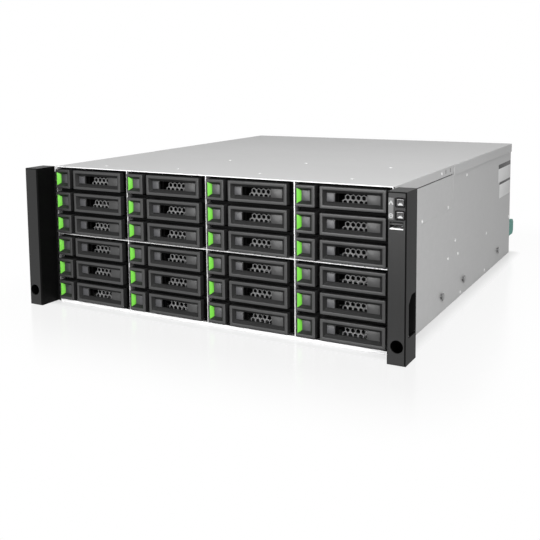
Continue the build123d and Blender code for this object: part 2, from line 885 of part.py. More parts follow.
def make_ear_cover(side):
    """A moulded hollow cover, open at the rear, with a tool hole and a finger cut-out."""
    inner = side * ear_inner
    outer = side * ear_outer
    rear = -flange_thickness - ear_rear_gap
    mid_x, wide = span(*sorted((inner, outer)))
    mid_z, tall = span(ear_bottom, ear_top)
    with BuildPart() as cover:
        with BuildSketch(at_y(ear_front_y)):
            with Locations((mid_x, mid_z)):
                Rectangle(wide, tall)
        extrude(amount=-(rear - ear_front_y))
        front_edges = cover.faces().sort_by(Axis.Y)[0].edges()
        chamfer(front_edges, length=ear_corner)
        with BuildSketch(at_y(ear_front_y + ear_front_wall)):
            with Locations((mid_x, mid_z)):
                Rectangle(wide - 2 * ear_wall, tall - 2 * ear_wall)
        extrude(amount=-(rear - ear_front_y), mode=Mode.SUBTRACT)
        with BuildSketch(at_y(ear_front_y)):
            with Locations((side * rack_hole_x, rack_hole_z)):
                Circle(tool_hole_radius)
        extrude(amount=-ear_front_wall, mode=Mode.SUBTRACT)
        # finger cut-out in the outer wall, open to the rear, with a clipped upper corner
        with BuildSketch(Plane.YZ.offset(outer)):
            with BuildLine():
                Polyline(
                    (rear, grip_cut_z[0]), (grip_cut_front_y, grip_cut_z[0]),
                    (grip_cut_front_y, grip_cut_z[1] - grip_cut_corner),
                    (grip_cut_front_y + grip_cut_corner, grip_cut_z[1]),
                    (rear, grip_cut_z[1]), (rear, grip_cut_z[0]),
                )
            make_face()
        extrude(amount=-side * ear_wall, mode=Mode.SUBTRACT)
        if side > 0:
            cut_control_openings()
    return cover.part


def cut_control_openings():
    """Raised bezels, button holes, the light strip's slot and the port's hole in the right ear."""
    for z in button_z:
        with BuildSketch(at_y(ear_front_y)) as bezel:
            with Locations((button_x, z)):
                Rectangle(bezel_width, bezel_height)
            chamfer(bezel.vertices(), length=bezel_corner)
        extrude(bezel.sketch, amount=bezel_rise, dir=(0, -1, 0))
    for z in button_z:
        with BuildSketch(at_y(ear_front_y - bezel_rise)) as hole:
            with Locations((button_x, z)):
                Rectangle(cap_width + 2 * cap_gap, cap_height + 2 * cap_gap)
            chamfer(hole.vertices(), length=cap_corner)
        extrude(hole.sketch, amount=bezel_rise + ear_front_wall, dir=(0, 1, 0), mode=Mode.SUBTRACT)
    block(
        (strip_x[0] - strip_gap, strip_x[1] + strip_gap), (ear_front_y, ear_front_y + ear_front_wall),
        (strip_z[0] - strip_gap, strip_z[1] + strip_gap), mode=Mode.SUBTRACT,
    )
    block(
        (usb_x[0] - strip_gap, usb_x[1] + strip_gap), (ear_front_y, ear_front_y + ear_front_wall),
        (usb_z[0] - strip_gap, usb_z[1] + strip_gap), mode=Mode.SUBTRACT,
    )


def make_button(z):
    """A push button: a rounded cap with a stem that reaches towards the board."""
    cap_front = ear_front_y - bezel_rise + cap_recess
    stem_end = board_y - button_travel - stem_gap
    with BuildPart() as button:
        with BuildSketch(at_y(cap_front)) as cap:
            with Locations((button_x, z)):
                Rectangle(cap_width, cap_height)
            chamfer(cap.vertices(), length=cap_corner)
        extrude(amount=-cap_length)
        with BuildSketch(at_y(cap_front + cap_length)):
            with Locations((button_x, z)):
                RegularPolygon(stem_radius, stem_sides)
        extrude(amount=-(stem_end - cap_front - cap_length))
    return button.part


def make_light_pipe():
    """The clear strip beside the buttons, with two legs that carry light from the board."""
    with BuildPart() as pipe:
        block(strip_x, (ear_front_y, ear_front_y + ear_front_wall), strip_z)
        for z in button_z:
            block(
                (ear_inner + ear_wall + light_leg_gap, strip_x[1]),
                (ear_front_y + ear_front_wall, board_y - light_leg_gap),
                (z - light_leg_half_height, z + light_leg_half_height),
            )
    return pipe.part


def make_usb_port():
    """A port shell with an open front and its tongue."""
    front = ear_front_y + usb_setback
    with BuildPart() as port:
        block(usb_x, (front, front + usb_length), usb_z)
        block(
            (usb_x[0] + usb_wall, usb_x[1] - usb_wall), (front, front + usb_length - usb_wall),
            (usb_z[0] + usb_wall, usb_z[1] - usb_wall), mode=Mode.SUBTRACT,
        )
        top = usb_z[1] - usb_wall - usb_tongue_drop
        block(
            (usb_x[0] + usb_tongue_inset, usb_x[1] - usb_tongue_inset),
            (front + usb_tongue_setback, front + usb_length - usb_wall), (top - usb_tongue, top),
        )
    return port.part


def make_control_board():
    """The upright board in the right ear, behind the button stems."""
    left = ear_inner + ear_wall + board_edge_gap
    right = ear_outer - ear_wall - board_edge_gap
    with BuildPart() as board:
        block((left, right), (board_y, board_y + board_thickness), board_z)
    return board.part


# Midplane, with one connector for each bay
def make_midplane():
    mid_x = span(drive_left, drive_left + drive_width)[0]
    with BuildPart() as board:
        block(
            (-wall_in + midplane_margin, wall_in - midplane_margin),
            (midplane_y, midplane_y + midplane_thickness),
            (midplane_margin, height - midplane_margin),
        )
        vents = [
            (column_x(column) + mid_x, row_z(row) + vent_height / 2 + vent_rise)
            for column in range(columns) for row in range(0, rows, 2)
        ]
        with BuildSketch(at_y(midplane_y)):
            with Locations(*vents):
                Rectangle(vent_width, vent_height)
        extrude(amount=-midplane_thickness, mode=Mode.SUBTRACT)
    solids = [board.part]
    face = drive_rear_y + connector_gap
    for column in range(columns):
        for row in range(rows):
            x = column_x(column) + mid_x
            z = row_z(row) + drive_bottom + tie_bar_height + connector_rise
            with BuildPart() as connector:
                block(
                    (x - connector_width / 2, x + connector_width / 2), (face, midplane_y),
                    (z, z + connector_height),
                )
            solids.append(connector.part)
    return solids


# Rear half
def make_rear_shelves():
    """Two shelves and three partitions that make the bays of the rear half."""
    front = supply_front_y - bay_wall_lead
    plates = []
    for z in (rear_shelf_z, upper_shelf_z):
        with BuildPart() as shelf:
            block((-wall_in, wall_in), (canister_front_y, rear_y), (z, z + sheet))
        plates.append(shelf.part)
    for x in (-bay_wall_x, 0.0, bay_wall_x):
        with BuildPart() as partition:
            block((x - sheet / 2, x + sheet / 2), (front, rear_y), (sheet, rear_shelf_z))
        plates.append(partition.part)
    return plates


def make_controller(z0, z1):
    """A controller canister: a long box whose rear face has sockets, plugged cages and vents."""
    half = wall_in - module_gap
    mid_z = (z0 + z1) / 2
    with BuildPart() as canister:
        block((-half, half), (canister_front_y, rear_y), (z0, z1))
        with BuildSketch(rear_plane(rear_y)):
            with Locations(*[(-x, mid_z) for x in socket_x]):
                Rectangle(socket_width, socket_height)
        extrude(amount=-socket_depth, mode=Mode.SUBTRACT)
        with BuildSketch(rear_plane(rear_y)):
            with Locations(*[(-x, mid_z) for x in plug_x]):
                Rectangle(plug_width, plug_height)
        extrude(amount=plug_rise)
        with BuildSketch(rear_plane(rear_y)):
            vents = [(-vent_slot_left - vent_slot_pitch * n, mid_z) for n in range(vent_slot_count)]
            with Locations(*vents):
                Rectangle(*vent_slot_size)
        extrude(amount=-slot_depth, mode=Mode.SUBTRACT)
        # clevis for the ejector lever
        low, high = mid_z - canister_lever_width / 2, mid_z + canister_lever_width / 2
        for z in (low - clevis_gap - clevis_plate, high + clevis_gap):
            with BuildSketch(Plane.XY.offset(z)):
                with Locations((canister_lever_x, rear_y + clevis_size / 2)):
                    Rectangle(clevis_size, clevis_size)
            extrude(amount=clevis_plate)
        with BuildSketch(Plane.XY.offset(low - clevis_gap)):
            with Locations((canister_lever_x, rear_y + clevis_pin_y)):
                Circle(clevis_pin_radius)
        extrude(amount=canister_lever_width + 2 * clevis_gap)
    return canister.part


def make_controller_lever(z0, z1):
    """A bar across the canister's face that turns about an upright pin at its left end."""
    mid_z = (z0 + z1) / 2
    low = mid_z - canister_lever_width / 2
    near = rear_y + clevis_pin_y - canister_lever_thickness / 2
    far = near + canister_lever_thickness
    left = canister_lever_x - canister_lever_thickness / 2
    right = left + canister_lever_length
    grip_y = far + canister_lever_grip
    clip = canister_lever_clip
    with BuildPart() as lever:
        with BuildSketch(Plane.XY.offset(low)):
            with BuildLine():
                Polyline(
                    (left + clip, near), (right, near), (right, grip_y),
                    (right - canister_lever_lip, grip_y),
                    (right - canister_lever_ramp, far - canister_lever_waist),
                    (left + clip, far), (left, far - clip), (left, near + clip),
                    (left + clip, near),
                )
            make_face()
            with Locations((canister_lever_x, rear_y + clevis_pin_y)):
                Circle(clevis_pin_radius + pin_clearance, mode=Mode.SUBTRACT)
        extrude(amount=canister_lever_width)
    return lever.part


def make_supply(x0, x1):
    """A power supply: box, recessed inlet with three blades, intake ring, handle and tab clevis."""
    z0, z1 = module_low, module_high
    inlet = (-(x0 + inlet_inset), inlet_z)
    tab_x = x1 - tab_inset - tab_thickness / 2
    blades = [
        (inlet[0] + step * blade_spread, inlet[1] + blade_step * (2 * abs(step) - 1))
        for step in (-1, 0, 1)
    ]
    with BuildPart() as supply:
        block((x0, x1), (supply_front_y, rear_y), (z0, z1))
        with BuildSketch(rear_plane(rear_y)):
            with Locations(inlet):
                Rectangle(inlet_width, inlet_height)
        extrude(amount=-inlet_depth, mode=Mode.SUBTRACT)
        with BuildSketch(rear_plane(rear_y - inlet_depth)):
            with Locations(*blades):
                Rectangle(*blade_size)
        extrude(amount=blade_length)
        with BuildSketch(rear_plane(rear_y)):
            with Locations((-(x0 + intake_inset), intake_z)):
                with GridLocations(slot_size[0], slot_pitch, 1, slot_count):
                    Rectangle(*slot_size)
        extrude(amount=-slot_depth, mode=Mode.SUBTRACT)
        # clevis for the release tab
        for z in (tab_z[0] - clevis_gap - clevis_plate, tab_z[1] + clevis_gap):
            with BuildSketch(Plane.XY.offset(z)):
                with Locations((tab_x, rear_y + clevis_size / 2)):
                    Rectangle(clevis_size, clevis_size)
            extrude(amount=clevis_plate)
        with BuildSketch(Plane.XY.offset(tab_z[0] - clevis_gap)):
            with Locations((tab_x, rear_y + clevis_pin_y)):
                Circle(clevis_pin_radius)
        extrude(amount=tab_z[1] - tab_z[0] + 2 * clevis_gap)
        # strap handle, bent twice
        handle_x = x1 - handle_inset
        for inset, mode in ((0.0, Mode.ADD), (handle_bar, Mode.SUBTRACT)):
            reach = handle_reach - inset
            with BuildSketch(Plane.YZ.offset(handle_x)) as strap:
                with Locations((rear_y + reach / 2, intake_z)):
                    Rectangle(reach, handle_span - 2 * inset)
                bends = strap.vertices().sort_by(Axis.X)[-2:]
                chamfer(bends, length=handle_corner - inset / 2)
            extrude(strap.sketch, amount=handle_width, mode=mode)
    return supply.part


def make_release_tab(x1):
    """The teal tab beside the handle: a flat finger piece on an upright pin."""
    tab_x = x1 - tab_inset - tab_thickness / 2
    near = rear_y + clevis_pin_y - tab_thickness / 2 - tab_heel
    with BuildPart() as tab:
        with BuildSketch(Plane.YZ.offset(tab_x - tab_thickness / 2)):
            with Locations((span(near, rear_y + tab_reach)[0], span(*tab_z)[0])):
                Rectangle(rear_y + tab_reach - near, tab_z[1] - tab_z[0])
        extrude(amount=tab_thickness)
        ends = tab.edges().filter_by(Axis.X).group_by(Axis.Y)[-1]
        chamfer(ends, length=tab_corner)
        with BuildSketch(Plane.XY.offset(tab_z[0])):
            with Locations((tab_x, rear_y + clevis_pin_y)):
                Circle(clevis_pin_radius + pin_clearance)
        extrude(amount=tab_z[1] - tab_z[0], mode=Mode.SUBTRACT)
    return tab.part


def make_fan_module(x0, x1):
    """A fan module: a square duct with a round bore, struts, a shaft, a guard and a finger loop."""
    z0, z1 = module_low, module_high
    mid_x, mid_z = (x0 + x1) / 2, (z0 + z1) / 2
    motor_y = rear_y - fan_setback - fan_depth
    strut_length = 2 * (fan_radius + strut_overlap)
    with BuildPart() as module:
        block((x0, x1), (fan_front_y, rear_y), (z0, z1))
        with BuildSketch(rear_plane(rear_y)):
            with Locations((-mid_x, mid_z)):
                Circle(fan_radius)
        extrude(amount=-(rear_y - fan_front_y), mode=Mode.SUBTRACT)
        # struts hold the motor's shaft in front of the rotor
        with BuildSketch(rear_plane(motor_y - strut_gap - strut_thickness)):
            with Locations((-mid_x, mid_z)):
                RegularPolygon(fan_hub_radius, guard_sides)
                Rectangle(strut_length, strut_width)
                Rectangle(strut_width, strut_length)
        extrude(amount=strut_thickness)
        with BuildSketch(rear_plane(motor_y - strut_gap - shaft_root)):
            with Locations((-mid_x, mid_z)):
                Circle(fan_shaft_radius)
        extrude(amount=fan_depth)
        # guard across the rear mouth
        with BuildSketch(rear_plane(rear_y - guard_bar)):
            with Locations((-mid_x, mid_z)):
                RegularPolygon(guard_ring + guard_bar / 2, guard_sides)
                RegularPolygon(guard_ring - guard_bar / 2, guard_sides, mode=Mode.SUBTRACT)
                for turn in (45.0, 135.0):
                    Rectangle(strut_length, guard_bar, rotation=turn)
        extrude(amount=guard_bar)
        # finger loop at the module's right
        with BuildSketch(Plane.XY.offset(mid_z - loop_height / 2)):
            with Locations((x1 - loop_inset, rear_y + loop_depth / 2)):
                Rectangle(loop_width, loop_depth)
            with Locations((x1 - loop_inset, rear_y + (loop_depth - loop_wall) / 2)):
                Rectangle(loop_width - 2 * loop_wall, loop_depth - loop_wall, mode=Mode.SUBTRACT)
        extrude(amount=loop_height)
    return module.part


def make_fan_rotor(x0, x1):
    """The rotor: a hub cup with seven pitched blades, bored to run on the shaft."""
    z0, z1 = module_low, module_high
    mid_x, mid_z = (x0 + x1) / 2, (z0 + z1) / 2
    front = rear_y - fan_setback - fan_depth
    tip = fan_radius - fan_tip_gap
    root = fan_hub_radius - fan_hub_step
    with BuildPart() as rotor:
        with BuildSketch(rear_plane(front)):
            RegularPolygon(fan_hub_radius, 2 * fan_blades)
        extrude(amount=fan_depth - fan_hub_step)
        for n in range(fan_blades):
            turn = 360.0 / fan_blades * n
            middle = Location((0, front + (fan_depth - fan_hub_step) / 2, 0), (0, turn, 0))
            blade = middle * Location((span(root, tip)[0], 0, 0), (fan_blade_pitch, 0, 0))
            with Locations(blade):
                Box(tip - root, *fan_blade_size)
        with BuildSketch(rear_plane(front)):
            Circle(fan_shaft_radius + fan_shaft_gap)
        extrude(amount=fan_depth, mode=Mode.SUBTRACT)
    return rotor.part.moved(Location((mid_x, 0, mid_z)))


# Rivets and rail studs
def make_rivets():
    """Low round heads on both sides and on the front cover."""
    heads = []
    for side in (-1, 1):
        for y, z in side_rivets_yz:
            pressed = y < cover_depth and panel_z < z < flange_z
            seat = width / 2 - (panel_step if pressed else 0.0)
            with BuildPart() as head:
                with BuildSketch(Plane.YZ.offset(side * seat)):
                    with Locations((y, z)):
                        RegularPolygon(rivet_radius, rivet_sides)
                extrude(amount=side * rivet_height)
            heads.append(head.part)
    for x, y in top_rivets_xy:
        with BuildPart() as head:
            with BuildSketch(Plane.XY.offset(height)):
                with Locations((x, y)):
                    RegularPolygon(rivet_radius, rivet_sides)
            extrude(amount=rivet_height)
        heads.append(head.part)
    return heads


def make_rail_studs():
    """Shouldered studs, three on each side, that hang in a sliding rail."""
    studs = []
    for side in (-1, 1):
        for y in studs_y:
            with BuildPart() as stud:
                for start, length, radius in (
                    (0.0, stud_length, stud_radius), (stud_length, stud_head, stud_head_radius),
                ):
                    with BuildSketch(Plane.YZ.offset(side * (width / 2 + start))):
                        with Locations((y, rack_hole_z)):
                            RegularPolygon(radius, stud_sides)
                    extrude(amount=side * length)
            studs.append(stud.part)
    return studs


# Assembly: shell, cage and ears
save(make_chassis_base(), "chassis_base")
save(make_front_cover(), "front_cover")
save(make_rear_lid(), "rear_lid")
save_group(make_drive_cage(), "drive_cage")
save_group([make_rack_flange(side) for side in (-1, 1)], "rack_flanges")
save(make_ear_cover(-1), "ear_cover_left")
save(make_ear_cover(1), "ear_cover_right")
save(make_button(button_z[0]), "power_button")
save(make_button(button_z[1]), "locate_button")
save(make_light_pipe(), "light_pipe")
save(make_usb_port(), "usb_port")
save(make_control_board(), "control_board")
save_group(make_midplane(), "midplane")
save_group(make_rivets(), "rivets")
save_group(make_rail_studs(), "rail_studs")

# Trays: the one at the top right is split into all its pieces, the others are one node each
plain_carrier = make_carrier(full=False) + make_latch_housing(full=False)
plain_latch = make_latch(full=False)
plain_lever = make_lever(full=False)
plain_drive = make_drive(full=False)
service_column, service_row = columns - 1, 0
for column in range(columns):
    for row in range(rows):
        place = Location((column_x(column), 0, row_z(row)))
        if (column, row) == (service_column, service_row):
            continue
        pieces = [piece.moved(place) for piece in (plain_carrier, plain_latch, plain_lever, plain_drive)]
        save_group(pieces, f"tray_c{column + 1}_r{row + 1}")

place = Location((column_x(service_column), 0, row_z(service_row)))
service_carrier = make_carrier(full=True) + make_latch_housing(full=True)
service_drive = make_drive(full=True)
for cutter in make_screw_cutter(screw_clearance):
    service_carrier = service_carrier - cutter
    service_drive = service_drive - cutter
save(service_carrier.moved(place), "service_carrier")
save(make_grille().moved(place), "service_grille")
save(make_lever(full=True).moved(place), "service_lever")
save(make_lever_pin().moved(place), "service_lever_pin")
save(make_latch(full=True).moved(place), "service_latch")
save(make_latch_spring().moved(place), "service_latch_spring")
save(service_drive.moved(place), "service_drive")
save_group([screw.moved(place) for screw in make_drive_screws()], "service_drive_screws")

# Rear half: controllers, power supplies and fan modules
save_group(make_rear_shelves(), "rear_shelves")
for level, shelf_z in (("lower", rear_shelf_z), ("upper", upper_shelf_z)):
    z0 = shelf_z + sheet + module_gap
    save(make_controller(z0, z0 + canister_height), f"controller_{level}")
    save(make_controller_lever(z0, z0 + canister_height), f"controller_lever_{level}")
supply_spans = {
    "left": (-wall_in + module_gap, -bay_wall_x - sheet / 2 - module_gap),
    "right": (bay_wall_x + sheet / 2 + module_gap, wall_in - module_gap),
}
for hand, (x0, x1) in supply_spans.items():
    save(make_supply(x0, x1), f"power_supply_{hand}")
    save(make_release_tab(x1), f"release_tab_{hand}")
fan_spans = {
    "left": (-bay_wall_x + sheet / 2 + module_gap, -sheet / 2 - module_gap),
    "right": (sheet / 2 + module_gap, bay_wall_x - sheet / 2 - module_gap),
}
for hand, (x0, x1) in fan_spans.items():
    save(make_fan_module(x0, x1), f"fan_module_{hand}")
    save(make_fan_rotor(x0, x1), f"fan_rotor_{hand}")
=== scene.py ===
import bpy
import bmesh
import math
import numpy as np
from mathutils import Matrix, Vector


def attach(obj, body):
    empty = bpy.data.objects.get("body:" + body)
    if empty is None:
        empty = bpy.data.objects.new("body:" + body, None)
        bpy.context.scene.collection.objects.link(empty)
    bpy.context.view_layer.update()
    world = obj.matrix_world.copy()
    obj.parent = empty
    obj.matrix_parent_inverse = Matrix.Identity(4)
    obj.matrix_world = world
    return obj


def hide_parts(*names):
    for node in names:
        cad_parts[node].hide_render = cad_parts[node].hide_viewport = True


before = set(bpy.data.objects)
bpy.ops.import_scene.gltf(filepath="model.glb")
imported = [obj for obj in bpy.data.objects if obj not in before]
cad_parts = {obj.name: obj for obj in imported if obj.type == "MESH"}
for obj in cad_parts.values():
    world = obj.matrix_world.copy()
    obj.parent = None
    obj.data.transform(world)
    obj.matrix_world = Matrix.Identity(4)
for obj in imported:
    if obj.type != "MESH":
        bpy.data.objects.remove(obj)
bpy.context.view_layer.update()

# Sizes in millimetres, as in the part's source. Meshes and shader places are in metres.
MM = 0.001
CHASSIS_HALF = 219.0
CHASSIS_TOP = 170.0
COLUMNS, ROWS = 4, 6
COLUMN_PITCH = 109.5
ROW_PITCH = 27.7
TOP_ROW = 154.9
SERVICE = (4, 1)
FACE_Y = -5.0

# Tray: x from the left divider, y from the face, z from mid-height
HALF_FACE = 11.35
WALL = 10.8
CARRIER_LEFT, CARRIER_RIGHT = 2.0, 106.2
RAIL = 1.2
HOUSING_RIGHT = 24.7
POCKET, POCKET_RIGHT = 4.3, 17.6
LATCH_LEFT, LATCH_FOOT = 3.75, 7.7
LEVER_LEFT, LEVER_RIGHT, LEVER_BACK = 30.2, 102.0, 6.8
RECESS_LEFT, RECESS_RIGHT = 36.7, 94.5
OPEN_LEFT, OPEN_RIGHT = 45.6, 80.6
PIVOT_X, PIVOT_Y, BARREL_RADIUS = 99.0, 8.6, 1.7
HEX_PITCH, HEX_HOLE, HEX_ROW_DROP = 5.85, 2.45, 5.07
HEX_LEFT, HEX_COLUMNS = 56.7, 5
DRIVE_LOW, DRIVE_HIGH = -12.2, 13.9
DRIVE_FRONT, DRIVE_REAR = 45.0, 192.0
DRIVE_LEFT, DRIVE_RIGHT = 3.3, 104.9

# Right ear
EAR_FACE = -30.9
BUTTON_X = 235.2
BUTTON_LEVELS = {"power_button": 159.6, "locate_button": 147.4}
ICON_X, ICON_FRONT = 225.9, -31.06


# Meshes
def piece(name, points, faces, material, body, slot, crease=35.0):
    """A mesh object in the part's frame, which rides on a body: doubles merged, faces turned outwards,
    edges sharper than crease kept."""
    mesh = bpy.data.meshes.new(name)
    mesh.from_pydata((np.asarray(points, float) * MM).tolist(), [], faces)
    work = bmesh.new()
    work.from_mesh(mesh)
    bmesh.ops.remove_doubles(work, verts=work.verts, dist=2e-6)
    bmesh.ops.recalc_face_normals(work, faces=work.faces)
    work.to_mesh(mesh)
    work.free()
    mesh.shade_smooth()
    mesh.set_sharp_from_angle(angle=math.radians(crease))
    mesh.materials.append(material)
    made = bpy.data.objects.new(name, mesh)
    bpy.context.scene.collection.objects.link(made)
    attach(made, body)
    return made


def rounded_rectangle(x0, x1, z0, z1, radius, steps):
    """One loop of points: at each corner a quarter circle of the given radius, in equal steps.
    radius is one number, or four for the corners right-top, left-top, left-low and right-low."""
    radii = np.broadcast_to(np.asarray(radius, float), (4,))
    angle = np.linspace(0.0, math.pi / 2, steps + 1)
    corners = ((x1, z1, -1, -1, 0.0), (x0, z1, 1, -1, math.pi / 2),
               (x0, z0, 1, 1, math.pi), (x1, z0, -1, 1, 3 * math.pi / 2))
    loop = [
        np.stack([x + sx * r + r * np.cos(angle + turn), z + sz * r + r * np.sin(angle + turn)], -1)
        for (x, z, sx, sz, turn), r in zip(corners, radii)
    ]
    return np.concatenate(loop)


def band(first, second, count):
    """Quads that join two loops of count points, which start at the given numbers."""
    i = np.arange(count)
    j = (i + 1) % count
    return np.stack([first + i, first + j, second + j, second + i], -1)


def skin(loops, count, ring):
    """Faces over loops of count points, joined in order. A ring joins the last loop to the first.
    Otherwise the first and the last loop are capped."""
    pairs = [(n, n + 1) for n in range(loops - 1)]
    if ring:
        pairs.append((loops - 1, 0))
    faces = np.concatenate([band(a * count, b * count, count) for a, b in pairs]).tolist()
    if not ring:
        faces.append(list(range(count)))
        faces.append(list(range((loops - 1) * count, loops * count)))
    return faces


def stack(levels, steps=3, ring=False):
    """Rounded rectangles set one behind another. Each level is (x0, x1, z0, z1, y, radius)."""
    count = 4 * (steps + 1)
    loops = [rounded_rectangle(*level[:4], level[5], steps) for level in levels]
    points = np.concatenate([
        np.stack([loop[:, 0], np.full(count, level[4]), loop[:, 1]], -1)
        for loop, level in zip(loops, levels)
    ])
    return points, skin(len(levels), count, ring)


def slab(x, y, z, edge=0.2, radius=0.4, steps=2):
    """A plate that faces the front, its front and rear edges eased by a quarter round in two chords."""
    turn = np.linspace(0.0, math.pi / 2, 3)
    inset, rise = edge * (1 - np.sin(turn)), edge * (1 - np.cos(turn))
    profile = [(i, y[0] + r) for i, r in zip(inset, rise)]
    profile += [(i, y[1] - r) for i, r in zip(inset[::-1], rise[::-1])]
    return stack([(x[0] + i, x[1] - i, z[0] + i, z[1] - i, depth, max(radius - i, 0.02))
                  for i, depth in profile], steps)


def turned(profile, centre, axis, steps=24, ring=False):
    """A profile of (distance along the axis, radius) pairs carried round the axis through centre."""
    along, out = np.asarray(profile, float).T
    angle = np.arange(steps) * (2 * math.pi / steps)
    circle = np.stack([np.cos(angle), np.sin(angle)], -1)
    basis = {"x": ((1, 0, 0), (0, 1, 0), (0, 0, 1)), "y": ((0, 1, 0), (0, 0, 1), (1, 0, 0)),
             "z": ((0, 0, 1), (1, 0, 0), (0, 1, 0))}[axis]
    main, side, up = (np.array(v, float) for v in basis)
    points = (np.asarray(centre, float) + along[:, None, None] * main
              + out[:, None, None] * (circle[:, :1] * side + circle[:, 1:] * up)).reshape(-1, 3)
    return points, skin(len(along), steps, ring)


def joined(*parts):
    """Several closed surfaces in one mesh, each with its own point numbers."""
    points, faces, start = [], [], 0
    for part_points, part_faces in parts:
        points.append(part_points)
        faces.extend([[start + n for n in face] for face in part_faces])
        start += len(part_points)
    return np.concatenate(points), faces


def moved(part, x=0.0, y=0.0, z=0.0):
    """A part shifted by the given millimetres."""
    points, faces = part
    return points + np.array([x, y, z]), faces


# Shader nodes
def linear(*levels):
    """Screen levels from 0 to 255 as a linear colour with alpha 1."""
    value = np.asarray(levels, float) / 255
    value = np.where(value <= 0.04045, value / 12.92, ((value + 0.055) / 1.055) ** 2.4)
    return (*value.tolist(), 1.0)


def grey(level):
    """A screen level from 0 to 255 as a linear grey."""
    return linear(level, level, level)


def brighter(colour, gain, lift=0.0):
    """A colour with each channel multiplied and raised, at most 1."""
    return (*(min(1.0, channel * gain + lift) for channel in colour[:3]), 1.0)


def add(tree, kind, values=None, **settings):
    """A node with its settings and the starting values of its sockets."""
    made = tree.nodes.new(kind)
    for key, value in settings.items():
        setattr(made, key, value)
    for key, value in (values or {}).items():
        made.inputs[key].default_value = value
    return made


def wire(tree, source, target):
    """Feeds a socket: another socket is linked to it, a plain value is set on it."""
    if isinstance(source, bpy.types.NodeSocket):
        tree.links.new(source, target)
    else:
        target.default_value = source


def maths(tree, operation, *terms, clamp=False):
    """A Math node fed by sockets or plain numbers; gives its output socket."""
    made = add(tree, "ShaderNodeMath", operation=operation, use_clamp=clamp)
    for term, socket in zip(terms, made.inputs):
        wire(tree, term, socket)
    return made.outputs[0]


def vector_maths(tree, operation, *terms):
    """A Vector Math node; gives a number for a dot product or a length, otherwise a vector."""
    made = add(tree, "ShaderNodeVectorMath", operation=operation)
    for term, socket in zip(terms, made.inputs):
        wire(tree, term, socket)
    return made.outputs["Value" if operation in ("DOT_PRODUCT", "LENGTH") else "Vector"]


def split(tree, vector):
    """The outputs X, Y and Z of a vector."""
    made = add(tree, "ShaderNodeSeparateXYZ")
    wire(tree, vector, made.inputs[0])
    return made.outputs


def blend_colour(tree, factor, first, second, mode="MIX"):
    """A colour Mix node; factor and colours are sockets or plain values."""
    made = add(tree, "ShaderNodeMix", data_type="RGBA", blend_type=mode)
    for number, value in ((0, factor), (6, first), (7, second)):
        wire(tree, value, made.inputs[number])
    return made.outputs[2]


def toned(tree, colour, tone):
    """A colour with all three channels multiplied by one number."""
    shade = add(tree, "ShaderNodeCombineColor")
    for channel in range(3):
        wire(tree, tone, shade.inputs[channel])
    return blend_colour(tree, 1.0, colour, shade.outputs[0], "MULTIPLY")


def object_coordinates(tree, scale=(1.0, 1.0, 1.0)):
    """Object coordinates, in metres, multiplied by a scale on each axis."""
    place = add(tree, "ShaderNodeTexCoord")
    mapping = add(tree, "ShaderNodeMapping", {"Scale": scale})
    wire(tree, place.outputs["Object"], mapping.inputs["Vector"])
    return mapping.outputs["Vector"]


def noise(tree, place, scale, detail, roughness=0.5):
    """Noise from 0 to 1 at a place."""
    made = add(tree, "ShaderNodeTexNoise", {"Detail": detail, "Roughness": roughness})
    wire(tree, place, made.inputs["Vector"])
    wire(tree, scale, made.inputs["Scale"])
    return made.outputs["Fac"]


def around(tree, value, span, middle=1.0):
    """A value from 0 to 1 spread over the given span, half of it on each side of the middle."""
    return maths(tree, "MULTIPLY_ADD", value, span, middle - span / 2)


def group(name, inputs, outputs):
    """An empty node group with its sockets, and its two end nodes."""
    tree = bpy.data.node_groups.new(name, "ShaderNodeTree")
    kinds = {"number": "NodeSocketFloat", "colour": "NodeSocketColor", "direction": "NodeSocketVector"}
    for label, kind, value in inputs:
        socket = tree.interface.new_socket(label, in_out="INPUT", socket_type=kinds[kind])
        socket.default_value = value
    for label, kind in outputs:
        tree.interface.new_socket(label, in_out="OUTPUT", socket_type=kinds[kind])
    return tree, tree.nodes.new("NodeGroupInput"), tree.nodes.new("NodeGroupOutput")


# Effects that several materials share
def make_moulded_grain():
    """Fine spark-eroded grain of moulded plastic, with a slow change of tone over the piece."""
    tree, enter, leave = group(
        "moulded grain",
        [("Colour", "colour", grey(60)), ("Grain size", "number", 1600.0), ("Tone change", "number", 0.08),
         ("Roughness", "number", 0.5)],
        [("Colour", "colour"), ("Roughness", "number"), ("Height", "number")],
    )
    place = object_coordinates(tree)
    fine = noise(tree, place, enter.outputs["Grain size"], 3.0, 0.6)
    slow = around(tree, noise(tree, place, 14.0, 2.0), 2.0, 0.0)
    lift = maths(tree, "MULTIPLY_ADD", slow, enter.outputs["Tone change"], 1.0)
    tone = maths(tree, "MULTIPLY", lift, around(tree, fine, 0.24))
    wire(tree, toned(tree, enter.outputs["Colour"], tone), leave.inputs["Colour"])
    rough = maths(tree, "ADD", enter.outputs["Roughness"], around(tree, fine, 0.16, 0.0))
    wire(tree, rough, leave.inputs["Roughness"])
    wire(tree, fine, leave.inputs["Height"])
    return tree


